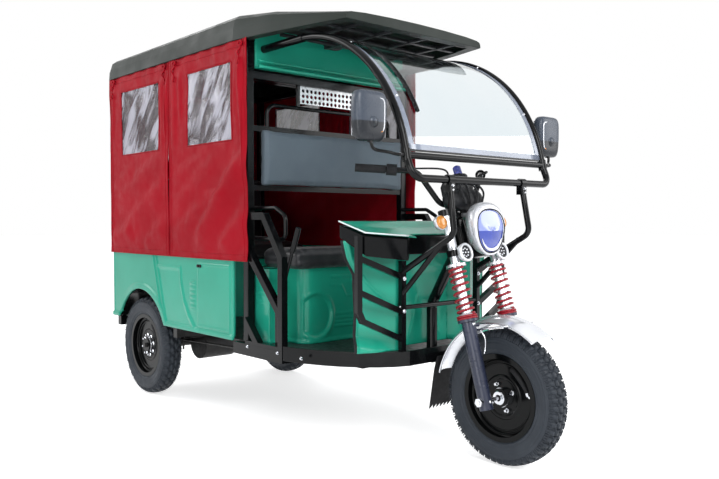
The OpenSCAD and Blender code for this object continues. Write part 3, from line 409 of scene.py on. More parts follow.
class Coat:
    """The finishes of this vehicle."""

    GREEN = Finish("green_enamel", "green_paint", srgb(28, 148, 122), srgb(36, 158, 132), 0.22, 0.05, 3.0, 500,
                   0.00006, coat=0.1, specular=0.25)
    BLACK = Finish("black_enamel", "black_paint", srgb(7, 8, 9), srgb(12, 13, 15), 0.16, 0.04, 8.0, 400, 0.00004,
                   specular=0.18)
    FLOOR = Finish("floor_plate", "floor_steel", srgb(40, 42, 44), srgb(55, 56, 57), 0.45, 0.1, 9.0, 120, 0.0008,
                   metallic=0.4)
    IRON = Finish("running_gear_iron", "dark_metal", srgb(38, 38, 40), srgb(54, 53, 52), 0.5, 0.12, 14.0, 220,
                  0.0005, metallic=0.6)
    CHROME = Finish("bright_chrome", "chrome", srgb(214, 216, 220), srgb(196, 198, 204), 0.12, 0.05, 12.0, 60,
                    0.00005, metallic=1.0)
    FORK = Finish("fork_enamel", "fork_paint", srgb(34, 39, 56), srgb(42, 47, 66), 0.3, 0.06, 7.0, 350, 0.00008,
                  specular=0.4)
    RED = Finish("spring_enamel", "red_paint", srgb(132, 14, 30), srgb(148, 20, 36), 0.3, 0.06, 10.0, 300, 0.0001,
                 specular=0.35)
    ROOF = Finish("roof_moulding", "roof_plastic", srgb(38, 43, 40), srgb(46, 51, 48), 0.48, 0.08, 2.5, 420,
                  0.0002, specular=0.15)
    SHELL = Finish("black_moulding", "shell_plastic", srgb(26, 27, 30), srgb(34, 35, 38), 0.45, 0.08, 10.0, 700,
                   0.00025, specular=0.25)
    SEAT = Finish("black_seat_vinyl", "black_vinyl", srgb(26, 27, 30), srgb(36, 37, 40), 0.38, 0.08, 8.0, 420,
                  0.0005, sheen=0.1, specular=0.3)
    PAD = Finish("grey_seat_vinyl", "grey_vinyl", srgb(72, 83, 92), srgb(82, 94, 103), 0.5, 0.08, 4.0, 420,
                 0.0005, sheen=0.1, specular=0.2)
    CURTAIN = Fabric("red_curtain_cloth", "red_vinyl", srgb(142, 5, 23), srgb(154, 9, 28), 0.56, 0.1, 5.0, 420,
                     0.0006, specular=0.1)
    # Clear window film: its dark colour is painted shade of the cabin behind it and its pale second colour a painted
    # reflection, laid in streaks.
    WINDOW = Clear("window_film_painted_shade_and_reflections", "clear_vinyl", srgb(72, 60, 66), srgb(196, 195, 207), 0.12, 0.06, 9.0, 90,
                   0.0004, passing=0.0, opacity=0.6, rumple=0.02)
    GLASS = Clear("screen_sheet", "screen", srgb(236, 243, 246), srgb(230, 240, 244), 0.02, 0.01, 2.0, 10, 0.0,
                  index=1.46)
    LENS = Clear("clear_lens", "lens", srgb(226, 234, 250), srgb(220, 230, 250), 0.04, 0.01, 4.0, 60, 0.0001)
    ORANGE = Clear("orange_lens_moulding", "orange_lens", srgb(255, 168, 30), srgb(252, 142, 14), 0.1, 0.03, 9.0,
                   160, 0.0004, coat=1.0, passing=0.3)
    TAIL = Clear("red_lens_moulding", "red_lens", srgb(170, 12, 16), srgb(150, 8, 12), 0.12, 0.03, 9.0, 160, 0.0004,
                 passing=0.35)
    RUBBER = Finish("soft_rubber", "rubber", srgb(24, 24, 26), srgb(33, 33, 35), 0.7, 0.1, 14.0, 300, 0.0004,
                    specular=0.2)
    TYRE = Finish("tyre_rubber", "tyre", srgb(37, 42, 49), srgb(47, 52, 59), 0.55, 0.08, 10.0, 240, 0.0004,
                  specular=0.25)
    RIM = Finish("rim_enamel", "rim_paint", srgb(6, 7, 8), srgb(10, 11, 12), 0.16, 0.03, 6.0, 300, 0.00002,
                 specular=0.14)
    POLISH = Finish("polished_tube", "chrome", srgb(238, 240, 244), srgb(222, 224, 230), 0.16, 0.04, 9.0, 160,
                    0.00004, metallic=0.7)
    BLUE = Finish("blue_cap", "shell_plastic", srgb(54, 62, 150), srgb(64, 74, 166), 0.3, 0.06, 9.0, 300, 0.0001,
                  coat=0.3)
    SILVER = Finish("silver_moulding", "chrome", srgb(214, 216, 220), srgb(200, 202, 208), 0.3, 0.05, 9.0, 260,
                    0.00006, metallic=0.5, coat=0.4)
    # Headlamp lens: blue tint below the level, and a painted reflection in lighter lavender above it.
    HEADLAMP = Banded("headlamp_blue_painted_reflection", "lens", srgb(38, 62, 160), srgb(48, 74, 176), 0.06, 0.02, 9.0, 60, 0.0001,
                      coat=1.0, level=0.880, above=srgb(140, 152, 214))
    # Near-white for the headlamp's painted glint and for the spot lamps' dots.
    WHITE = Finish("painted_glint_and_lamp_dots", "lens", srgb(240, 242, 246), srgb(228, 230, 236), 0.12, 0.04, 12.0, 80, 0.0001,
                   coat=0.5)
    # Dark mirror housing; the lighter blue-grey above the level is a painted reflection on its top.
    MIRROR = Banded("mirror_moulding_painted_reflection", "shell_plastic", srgb(32, 35, 40), srgb(40, 44, 50), 0.28, 0.04, 5.0, 700,
                    0.00004, specular=0.3, level=1.262, above=srgb(62, 69, 80), soft=0.004)
    # Pale blue-grey painted reflection of the bright surroundings, on the screen's edge trim and the dial glass.
    TRIM = Finish("trim_painted_reflection", "rubber", srgb(126, 134, 150), srgb(112, 120, 136), 0.25, 0.06, 6.0, 200, 0.0001,
                  coat=0.5)
    # Near-white line along the hood's edges: a painted highlight.
    EDGE_HIGHLIGHT = Finish("painted_edge_highlight", "green_paint", srgb(226, 236, 236), srgb(212, 226, 226), 0.25, 0.05, 9.0, 200,
                  0.0001, coat=0.3)
    MESH = Finish("pressed_mesh", "mesh", srgb(180, 182, 184), srgb(160, 162, 164), 0.3, 0.08, 20.0, 200, 0.0002,
                  metallic=0.8)


NODE_FINISH: dict[str, Finish] = {
    **dict.fromkeys(("side_panels", "tail_panel", "seat_box", "passenger_bench", "header_panel", "front_cowl",
                     "hood"), Coat.GREEN),
    **dict.fromkeys(("chassis_frame", "bumper_skirt", "wheel_housings", "hand_brake", "backrest_frame",
                     "cabin_frame", "side_guards", "arm_rests", "screen_frame", "wiper", "hood_tray", "leg_guards",
                     "steering_yoke", "handlebar"), Coat.BLACK),
    **dict.fromkeys(("rear_axle", "drive_motor", "leaf_springs", "battery_pack"), Coat.IRON),
    **dict.fromkeys(("front_axle", "headlamp", "spot_lamps"), Coat.CHROME),
    "fork_tubes": Coat.POLISH, "front_mudguard": Coat.POLISH,
    **dict.fromkeys(("mirrors", "instrument"), Coat.SHELL),
    **dict.fromkeys(("mud_flap", "grips", "control_cables"), Coat.RUBBER),
    **dict.fromkeys(("front_rim", "rear_rim_right", "rear_rim_left"), Coat.RIM),
    **dict.fromkeys(("front_tyre", "rear_tyre_right", "rear_tyre_left"), Coat.TYRE),
    "floor_pan": Coat.FLOOR, "tail_lamps": Coat.TAIL, "driver_seat": Coat.SEAT, "passenger_seat": Coat.SEAT,
    "backrest_pad": Coat.PAD, "vent_grille": Coat.MESH, "roof": Coat.ROOF, "screen_glass": Coat.GLASS,
    "curtains": Coat.CURTAIN, "curtain_windows": Coat.WINDOW, "fork_springs": Coat.RED, "fork_legs": Coat.FORK,
    "headlamp_lens": Coat.LENS, "turn_signals": Coat.ORANGE,
}


SQUARE_NODES: dict[str, float] = {
    **dict.fromkeys(("cabin_frame", "side_guards", "leg_guards", "backrest_frame"), 0.003),
    "chassis_frame": 0.001, "bumper_skirt": 0.0015, "hood_tray": 0.006, "header_panel": 0.004,
    "tail_panel": 0.004, "roof": 0.002,
}
WELD_GAP = 0.00005


def dress_nodes() -> None:
    """Gives every node of the frame its finish, and the nodes in SQUARE_NODES softly broken edges."""
    for name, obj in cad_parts.items():
        finish = NODE_FINISH[name]
        obj.data.materials.clear()
        obj.data.materials.append(finish.material())
        if name in SQUARE_NODES:
            weld = obj.modifiers.new("weld", "WELD")
            weld.merge_threshold = WELD_GAP
            break_edges(obj, SQUARE_NODES[name], 3, 50)
        LOG.info("node %s dressed in %s", name, finish.name)


@dataclass
class Shape:
    """Points and faces gathered for one piece, in metres in the frame's own coordinates."""

    points: list[Vector] = field(default_factory=list)
    faces: list[tuple[int, ...]] = field(default_factory=list)

    def add(self, points: Iterable[Sequence[float]], faces: Iterable[Sequence[int]]) -> None:
        """Adds points, and faces that count from the first of them."""
        start = len(self.points)
        self.points += [Vector(p) for p in points]
        self.faces += [tuple(start + i for i in f) for f in faces]

    def grid(self, rows: Sequence[Sequence[Sequence[float]]], ring: bool = False, loop: bool = False) -> None:
        """Adds a sheet through rows of points.

        Args:
            rows: Rows of like count.
            ring: Whether each row closes on itself.
            loop: Whether the last row joins the first.
        """
        n, m = len(rows), len(rows[0])
        faces = []
        for i in range(n if loop else n - 1):
            for k in range(m if ring else m - 1):
                j, q = (i + 1) % n, (k + 1) % m
                faces.append((i * m + k, i * m + q, j * m + q, j * m + k))
        self.add([p for row in rows for p in row], faces)

    def tube(self, path: Sequence[Sequence[float]], radius: float | Callable[[float], float], sides: int = 12,
             closed: bool = False) -> None:
        """Adds a round tube along a path.

        Args:
            path: Points of its middle.
            radius: Radius, or a function of the share of its length.
            sides: Sides of the tube.
            closed: Whether the path is a loop.
        """
        spots = [Vector(p) for p in path]
        n = len(spots)
        side = None
        rows = []
        for i, spot in enumerate(spots):
            after = spots[(i + 1) % n] if closed else spots[min(i + 1, n - 1)]
            before = spots[i - 1] if closed else spots[max(i - 1, 0)]
            way = (after - before).normalized()
            side = way.orthogonal() if side is None else side - way * side.dot(way)
            side.normalize()
            up = way.cross(side)
            r = radius(i / (n - 1)) if callable(radius) else radius
            rows.append([spot + (side * cos(a) + up * sin(a)) * r for a in angles(sides)])
        start = len(self.points)
        self.grid(rows, ring=True, loop=closed)
        if not closed:
            last = start + (n - 1) * sides
            self.faces.append(tuple(range(start + sides - 1, start - 1, -1)))
            self.faces.append(tuple(range(last, last + sides)))

    def lathe(self, profile: Sequence[Pair], centre: Sequence[float], axis: Sequence[float],
              steps: int = 48, loop: bool = False) -> None:
        """Adds a turned shape.

        Args:
            profile: Pairs of radius and place along the axis.
            centre: Point on the axis that places are counted from.
            axis: Direction of the axis.
            steps: Facets of a turn.
            loop: Whether the profile is closed.
        """
        way = Vector(axis).normalized()
        side = way.orthogonal().normalized()
        up = way.cross(side)
        rows = [[Vector(centre) + way * h + (side * cos(a) + up * sin(a)) * r for a in angles(steps)]
                for r, h in profile]
        self.grid(rows, ring=True, loop=loop)

    def block(self, low: Sequence[float], high: Sequence[float], place: Matrix | None = None) -> None:
        """Adds a box between two corners, moved by a matrix."""
        corners = [Vector((x, y, z)) for x in (low[0], high[0]) for y in (low[1], high[1]) for z in (low[2], high[2])]
        self.add([place @ c if place else c for c in corners],
                 [(0, 1, 3, 2), (4, 6, 7, 5), (0, 4, 5, 1), (2, 3, 7, 6), (0, 2, 6, 4), (1, 5, 7, 3)])

    def piece(self, name: str, finish: Finish, body: Body, replaced: Sequence[str] = (), soft: bool = True,
              bevel: float = 0.0, thick: float = 0.0, wall: float = 0.0) -> bpy.types.Object:
        """Makes the gathered shape an object that rides on a body.

        Args:
            name: The piece's name.
            finish: Its finish.
            body: The body that carries it.
            replaced: Nodes that it stands for.
            soft: Whether it is shaded smooth.
            bevel: Width of broken edges in metres.
            thick: Thickness given to a sheet about its middle in metres.
            wall: Thickness given behind a sheet whose faces already look out.

        Returns:
            The new object.
        """
        data = bpy.data.meshes.new(name)
        data.from_pydata(self.points, [], self.faces)
        work = bmesh.new()
        work.from_mesh(data)
        bmesh.ops.remove_doubles(work, verts=work.verts, dist=1e-6)
        if not wall:
            bmesh.ops.recalc_face_normals(work, faces=work.faces)
        work.to_mesh(data)
        work.free()
        data.materials.append(finish.material())
        data.polygons.foreach_set("use_smooth", [soft] * len(data.polygons))
        obj = linked(name, data)
        if thick or wall:
            plate = obj.modifiers.new("plate", "SOLIDIFY")
            plate.thickness = thick or wall
            plate.offset = 0.0 if thick else -1.0
        if bevel:
            break_edges(obj, bevel, 2, 40)
        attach(obj, body.value)
        if replaced:
            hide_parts(*replaced)
        LOG.info("piece %s on %s, %d faces", name, body.value, len(data.polygons))
        return obj


@lru_cache(maxsize=None)
def middle(node: str) -> Vector:
    """Middle of a node's box at rest."""
    low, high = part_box(node)
    return (Vector(low) + Vector(high)) / 2


REAR_X = middle("rear_tyre_right").x


def at(x: float, y: float, z: float) -> Vector:
    """A place whose X is counted from the rear axle."""
    return Vector((REAR_X + x, y, z))


def ridge(distance: float, width: float) -> float:
    """Rounded ridge: 1 at no distance, 0 from width on."""
    return smooth(1 - abs(distance) / width)


def lookup(table: Sequence[Pair], x: float) -> float:
    """Value of a table of pairs at x, straight between its rows."""
    for (x0, y0), (x1, y1) in zip(table, table[1:]):
        if x <= x1:
            return mix(y0, y1, min(1.0, max(0.0, (x - x0) / (x1 - x0))))
    return table[-1][1]


def spline(points: Sequence[Sequence[float]], steps: int, closed: bool = False) -> list[Vector]:
    """Smooth path through points.

    Args:
        points: The points to pass through.
        steps: Steps between two points.
        closed: Whether the path is a loop.

    Returns:
        The points of the path.
    """
    knots = [Vector(p) for p in points]
    n = len(knots)
    path = []
    for i in range(n if closed else n - 1):
        near = [knots[k % n] if closed else knots[min(max(k, 0), n - 1)] for k in range(i - 1, i + 3)]
        for k in range(steps):
            t = k / steps
            path.append(((near[2] - near[0]) * t + (near[0] * 2 - near[1] * 5 + near[2] * 4 - near[3]) * t * t
                         + (near[1] * 3 - near[0] - near[2] * 3 + near[3]) * t ** 3) / 2 + near[1])
    return path if closed else path + [knots[-1]]


def spaced(marks: Sequence[float], step: float) -> list[float]:
    """Values that pass through the marks, no further apart than step."""
    values = [marks[0]]
    for a, b in zip(marks, marks[1:]):
        n = max(1, ceil((b - a) / step))
        values += [mix(a, b, k / n) for k in range(1, n + 1)]
    return values


@dataclass(frozen=True)
class Crease:
    """A fold or pressed line between two points of a sheet.

    Attributes:
        start: First end, in metres on the sheet.
        end: Second end.
        width: How far it spreads to its soft side.
        rise: Its height outwards.
        steep: Spread of its other side, as a share of width.
        fade: Share of the length over which each end fades.
    """

    start: Pair
    end: Pair
    width: float
    rise: float
    steep: float = 0.35
    fade: float = 0.25

    def height(self, u: float, v: float) -> float:
        """Its height at a point of the sheet."""
        (a, b), (c, d) = self.start, self.end
        length = hypot(c - a, d - b)
        way = ((c - a) / length, (d - b) / length)
        t = min(1.0, max(0.0, ((u - a) * way[0] + (v - b) * way[1]) / length))
        gap = hypot(u - mix(a, c, t), v - mix(b, d, t))
        behind = (u - a) * way[1] - (v - b) * way[0] < 0
        ends = smooth(min(t, 1 - t) / self.fade) if self.fade else 1.0
        return self.rise * ends * ridge(gap, self.width * (self.steep if behind else 1.0))


def folded(*rows: tuple) -> tuple[Crease, ...]:
    """Creases from rows of their values."""
    return tuple(Crease(*row) for row in rows)


@dataclass
class Drape:
    """One curtain panel with a clear window.

    Attributes:
        name: The panel's name.
        corner: Its lower corner.
        along: Direction of its width.
        out: Direction out of the vehicle.
        width: Width in metres.
        height: Height in metres.
        window: Window's left, bottom, right and top on the panel.
        creases: Its folds.
        seed: Place in the noise that roughens it.
        step: Spacing of its mesh.
        room: How far it may lie inside and outside its plane.
        lap: Width of a strip sewn behind its far edge, under the next panel.
        ties: Where tapes hang from its top.
    """

    name: str
    corner: Vector
    along: Vector
    out: Vector
    width: float
    height: float
    window: tuple[float, float, float, float]
    creases: tuple[Crease, ...]
    seed: float
    step: float = 0.0105
    room: Pair = (-0.009, 0.034)
    lap: float = 0.0
    ties: tuple[float, ...] = ()

    CLOTH = 0.0014
    FILM = 0.0006
    FILM_LAP = 0.008
    STITCH_LIFT = 0.0008
    WELT = 0.0026
    HEMS = ((0.002, 0.003), (0.026, 0.0016), (-0.030, 0.0016), (-0.002, 0.0016))
    SIDE_HEMS = ((0.002, 0.0028), (0.024, 0.0014), (-0.024, 0.0014), (-0.002, 0.0028))

    def lift(self, u: float, v: float) -> float:
        """How far the cloth lies outside its plane at a point."""
        free = smooth((self.height - v) / 0.12) * (0.35 + 0.65 * smooth(v / 0.05))
        spot = Vector((u * 2.3, v * 1.5, self.seed))
        rough = 0.009 * noise.noise(spot) + 0.0042 * noise.noise(spot * 3.1) + 0.0016 * noise.noise(spot * 8.3)
        gather = 0.0035 * sin(u * 46 + 3 * noise.noise(spot)) * smooth((v - self.height + 0.16) / 0.16)
        folds = sum(c.height(u, v) for c in self.creases)
        return min(self.room[1], max(self.room[0], free * (rough + folds) + gather))

    def point(self, u: float, v: float, over: float = 0.0) -> Vector:
        """A point of the cloth, lifted by over."""
        return self.corner + self.along * u + Vector((0, 0, v)) + self.out * (self.lift(u, v) + over)

    def strip(self, shape: Shape, us: Sequence[float], vs: Sequence[float], over: float = 0.0) -> None:
        """Adds the cloth between lists of widths and heights to a shape."""
        shape.grid([[self.point(u, v, over) for u in us] for v in vs])

    def sew(self, seam: Shape, us: Sequence[float], vs: Sequence[float]) -> None:
        """Adds the welt round the window, and the hems.

        Args:
            seam: Shape to add them to.
            us: Places across the panel.
            vs: Places up the panel.
        """
        left, low, right, high = self.window
        rim = [(left, low), (right, low), (right, high), (left, high)]
        welt = [self.point(mix(a, c, k / 30), mix(b, d, k / 30), self.STITCH_LIFT)
                for (a, b), (c, d) in zip(rim, rim[1:] + rim[:1]) for k in range(30)]
        seam.tube(welt, self.WELT, 8, closed=True)
        for place, roll in self.HEMS:
            v = place if place > 0 else self.height + place
            seam.tube([self.point(u, v, self.STITCH_LIFT) for u in us], roll, 6)
        for place, roll in self.SIDE_HEMS:
            u = place if place > 0 else self.width + place
            seam.tube([self.point(u, v, self.STITCH_LIFT) for v in vs], roll, 6)

    def tie(self, seam: Shape) -> None:
        """Adds the knotted tapes that hang from the top."""
        for u in self.ties:
            tape = [self.point(u + 0.010 * sin(k * 0.5), self.height - 0.006 * k,
                               0.004 + 0.003 * sin(k * 0.9)) for k in range(1, 19)]
            seam.tube(tape, lambda t: 0.0048 - 0.002 * t, 8)
            knot = [tape[2] + self.along * 0.013 * cos(a) + Vector((0, 0, 0.009 * sin(a)))
                    + self.out * 0.004 for a in angles(16)]
            seam.tube(knot, 0.0036, 8, closed=True)

    def build(self) -> tuple[bpy.types.Object, bpy.types.Object]:
        """Makes the cloth, its window and its sewn edges.

        Returns:
            The cloth and the window.
        """
        left, low, right, high = self.window
        us = spaced((0, left, right, self.width), self.step)
        vs = spaced((0, low, high, self.height), self.step)
        between = [v for v in vs if low <= v <= high]
        cloth, film, seam = Shape(), Shape(), Shape()
        self.strip(cloth, us, [v for v in vs if v <= low])
        self.strip(cloth, us, [v for v in vs if v >= high])
        self.strip(cloth, [u for u in us if u <= left], between)
        self.strip(cloth, [u for u in us if u >= right], between)
        sheet = cloth.piece(self.name, Coat.CURTAIN, Body.CHASSIS, thick=self.CLOTH)
        lap = self.FILM_LAP
        self.strip(film, spaced((left - lap, right + lap), self.step),
                   spaced((low - lap, high + lap), self.step), -self.CLOTH)
        pane = film.piece(self.name + "_window", Coat.WINDOW, Body.CHASSIS, thick=self.FILM)
        self.sew(seam, us, vs)
        self.tie(seam)
        if self.lap:
            behind = self.out * (self.room[0] - 0.001)
            seam.grid([[self.corner + self.along * (self.width + u) + Vector((0, 0, v)) + behind
                        for u in (-0.02, self.lap)] for v in vs])
        piping = seam.piece(self.name + "_piping", Coat.CURTAIN, Body.CHASSIS)
        return sheet, pane


@dataclass
class Curtains:
    """Side and rear curtains under the roof.

    Attributes:
        plane: Distance of the side curtains from the middle.
        rear: Place of the rear curtain from the rear axle.
        low: Height of the hem.
        high: Height of the top edge.
        split: Where the two side panels meet.
        ends: Rear and front ends of the sides.
        glass: Bottom and top of the windows.
        rear_glass: Sides of the rear panels' windows, on the panel.
        front_glass: Sides of the front panels' windows.
        back_glass: Sides of the rear curtain's window.
        gap: Half of the gap at the split.
        back: Half width of the rear curtain.
    """

    plane: float = 0.5113
    rear: float = -0.3333
    low: float = 0.742
    high: float = 1.6947
    split: float = 0.345
    ends: Pair = (-0.331, 1.035)
    glass: Pair = (1.27, 1.61)
    rear_glass: Pair = (0.143, 0.578)
    front_glass: Pair = (0.178, 0.571)
    back_glass: Pair = (0.211, 0.811)
    gap: float = 0.002
    back: float = 0.511

    REAR_FOLDS = folded(
        ((0.00, 0.07), (0.30, 0.13), 0.09, 0.020, 0.8), ((0.06, 0.26), (0.62, 0.50), 0.12, 0.013, 0.6),
        ((0.16, 0.12), (0.64, 0.36), 0.12, 0.014, 0.6), ((0.02, 0.34), (0.30, 0.46), 0.08, 0.007, 0.7),
        ((0.40, 0.03), (0.65, 0.18), 0.10, 0.013, 0.6), ((0.60, 0.93), (0.62, 0.50), 0.03, 0.009, 0.8),
        ((0.66, 0.94), (0.64, 0.55), 0.022, 0.010, 0.9), ((0.06, 0.94), (0.03, 0.60), 0.03, 0.010, 0.8))
    FRONT_FOLDS = folded(
        ((0.22, 0.02), (0.69, 0.50), 0.13, 0.027, 0.5), ((0.02, 0.22), (0.46, 0.46), 0.11, 0.012, 0.7),
        ((0.04, 0.06), (0.34, 0.27), 0.11, 0.014, 0.7), ((0.02, 0.36), (0.40, 0.50), 0.08, 0.007, 0.7),
        ((0.46, 0.04), (0.69, 0.22), 0.11, 0.016, 0.6), ((0.64, 0.94), (0.62, 0.52), 0.04, 0.009, 0.8),
        ((0.30, 0.28), (0.56, 0.30), 0.06, 0.007, 0.7), ((0.06, 0.94), (0.05, 0.48), 0.05, 0.010, 0.8),
        ((0.64, 0.94), (0.67, 0.40), 0.024, 0.014, 0.9), ((0.62, 0.94), (0.60, 0.60), 0.022, 0.010, 0.9),
        ((0.10, 0.94), (0.12, 0.62), 0.026, 0.009, 0.9))
    BACK_FOLDS = folded(
        ((0.04, 0.05), (0.55, 0.48), 0.10, 0.016), ((0.96, 0.06), (0.5, 0.45), 0.10, 0.014),
        ((0.2, 0.30), (0.8, 0.26), 0.06, 0.010))

    def pane(self, sides: Pair) -> tuple[float, float, float, float]:
        """A window's left, bottom, right and top on its panel."""
        return sides[0], self.glass[0] - self.low, sides[1], self.glass[1] - self.low

    def build(self) -> None:
        """Makes all five panels."""
        height = self.high - self.low
        rear_w = self.split - self.gap - self.ends[0]
        front_w = self.ends[1] - self.split - self.gap
        ahead = Vector((1, 0, 0))
        for side in Side:
            tag, s = side.name.lower(), side.value
            out, y = Vector((0, s, 0)), s * self.plane
            Drape(f"curtain_{tag}_rear", at(self.ends[0], y, self.low), ahead, out, rear_w, height,
                  self.pane(self.rear_glass), self.REAR_FOLDS, 3.0 + s, lap=0.03,
                  ties=(0.045, rear_w - 0.045)).build()
            Drape(f"curtain_{tag}_front", at(self.split + self.gap, y, self.low), ahead, out, front_w, height,
                  self.pane(self.front_glass), self.FRONT_FOLDS, 9.0 + s,
                  ties=(0.060, front_w - 0.050)).build()
        back = Drape("curtain_back", at(self.rear, -self.back, self.low), Vector((0, 1, 0)), Vector((-1, 0, 0)),
                     2 * self.back, height, self.pane(self.back_glass), self.BACK_FOLDS, 21.0,
                     room=(-0.004, 0.012))
        sheet, pane = back.build()
        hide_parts("curtains")
        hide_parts("curtain_windows")


@dataclass
class Cushion:
    """A padded piece swollen by cloth pressure from its plain solid.

    Attributes:
        node: The plain solid that it stands for.
        finish: Its cover.
        shrink: How much smaller it starts, in metres on each side.
        cap: How far a point may move in metres.
        fill: Tightness from 0 to 1; not used.
        channels: Sewn lines, as functions of a point that give their depth.
        crumple: Height of the cover's loose wrinkles.
        voxel: Size of its cells.
    """

    node: str
    finish: Finish
    shrink: float = 0.006
    cap: float = 0.012
    fill: float = 0.6
    channels: Callable[[Vector, Vector], float] | None = None
    crumple: float = 0.0012
    voxel: float = 0.009

    PRESSURE = 4.0
    FRAMES = 20

    def build(self) -> bpy.types.Object:
        """Swells, seams and dresses the pad.

        Returns:
            The cushion.
        """
        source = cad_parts[self.node]
        data = source.data.copy()
        data.transform(source.matrix_world)
        obj = linked(self.node + "_cover", data)
        low, high = (Vector(c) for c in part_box(self.node))
        centre, half = (low + high) / 2, (high - low) / 2
        for vert in data.vertices:
            vert.co = centre + Vector((vert.co - centre)[k] * (1 - self.shrink / half[k]) for k in range(3))
        remesh = obj.modifiers.new("cells", "REMESH")
        remesh.mode = "VOXEL"
        remesh.voxel_size = self.voxel
        self.settle(obj)
        self.swell(obj)
        data = obj.data
        normals = [v.normal.copy() for v in data.vertices]
        for vert, normal in zip(data.vertices, normals):
            spot = (vert.co - centre)
            wrinkle = noise.noise(spot * 21) + 0.5 * noise.noise(spot * 47)
            sewn = self.channels(spot, half) if self.channels else 0.0
            vert.co += normal * (self.crumple * wrinkle - sewn)
        finer = obj.modifiers.new("finer", "SUBSURF")
        finer.levels = finer.render_levels = 1
        self.settle(obj)
        data = obj.data
        for vert in data.vertices:
            vert.co = Vector(min(high[k], max(low[k], vert.co[k])) for k in range(3))
        data.materials.clear()
        data.materials.append(self.finish.material())
        data.polygons.foreach_set("use_smooth", [True] * len(data.polygons))
        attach(obj, Body.CHASSIS.value)
        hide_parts(self.node)
        LOG.info("cushion %s, %d faces", obj.name, len(data.polygons))
        return obj

    def swell(self, obj: bpy.types.Object) -> None:
        """Blows the cover up and caps how far each point moves."""
        rest = [v.co.copy() for v in obj.data.vertices]
        cloth = obj.modifiers.new("cloth", "CLOTH")
        cloth.settings.use_pressure = True
        cloth.settings.uniform_pressure_force = self.PRESSURE
        cloth.settings.quality = 4
        cloth.settings.effector_weights.gravity = 0.0
        for step in range(1, self.FRAMES + 1):
            bpy.context.scene.frame_set(step)
        self.settle(obj)
        bpy.context.scene.frame_set(1)
        for vert, start in zip(obj.data.vertices, rest):
            move = vert.co - start
            if move.length > self.cap:
                vert.co = start + move.normalized() * self.cap

    @staticmethod
    def settle(obj: bpy.types.Object) -> None:
        """Turns the result of the modifiers into the object's own mesh."""
        view = bpy.context.evaluated_depsgraph_get()
        made = bpy.data.meshes.new_from_object(obj.evaluated_get(view))
        old = obj.data
        obj.modifiers.clear()
        obj.data = made
        bpy.data.meshes.remove(old)


def driver_channels(spot: Vector, half: Vector) -> float:
    """Welts of the driver's seat: a line round its front and sides, and a line along its top edge."""
    outer = max(spot.x / half.x, abs(spot.y) / half.y)
    belt = 0.006 * ridge(spot.z + 0.002, 0.010) * smooth((outer - 0.75) / 0.2)
    top = 0.004 * ridge(outer - 0.86, 0.05) * smooth((spot.z / half.z - 0.6) / 0.3)
    return belt + top


def bench_channels(spot: Vector, half: Vector) -> float:
    """Sewn lines across the passenger cushion."""
    lines = max(ridge(spot.y - k * half.y / 2, 0.012) for k in (-1, 0, 1))
    return 0.005 * lines * smooth((spot.z / half.z - 0.5) / 0.3)


def back_channels(spot: Vector, half: Vector) -> float:
    """Welt round the border of the backrest."""
    border = min(half.y - abs(spot.y), half.z - abs(spot.z))
    return 0.0035 * ridge(border - 0.020, 0.010)


@dataclass
class Seats:
    """All the cushions."""

    def build(self) -> None:
        """Makes the driver's seat, the passenger seat and the backrest."""
        Cushion("driver_seat", Coat.SEAT, 0.006, 0.011, 0.7, driver_channels, 0.0018).build()
        Cushion("passenger_seat", Coat.SEAT, 0.007, 0.014, 0.7, bench_channels, voxel=0.014).build()
        Cushion("backrest_pad", Coat.PAD, 0.004, 0.008, 0.5, back_channels, 0.0022).build()


class Tread(Enum):
    """Tread patterns."""

    STREET = "street"
    CHUNKY = "chunky"


@dataclass(frozen=True)
class Lug:
    """A tread block within one pitch of the pattern.

    Attributes:
        shift: Turn from the pitch's start, in pitches.
        low: Inner edge, as a share of the tyre's half width.
        high: Outer edge.
        ends: Angles of its two ends, in pitches, at a share of its width.
        lift: Extra height.
    """

    shift: float
    low: float
    high: float
    ends: Callable[[float], Pair]
    lift: float = 0.0


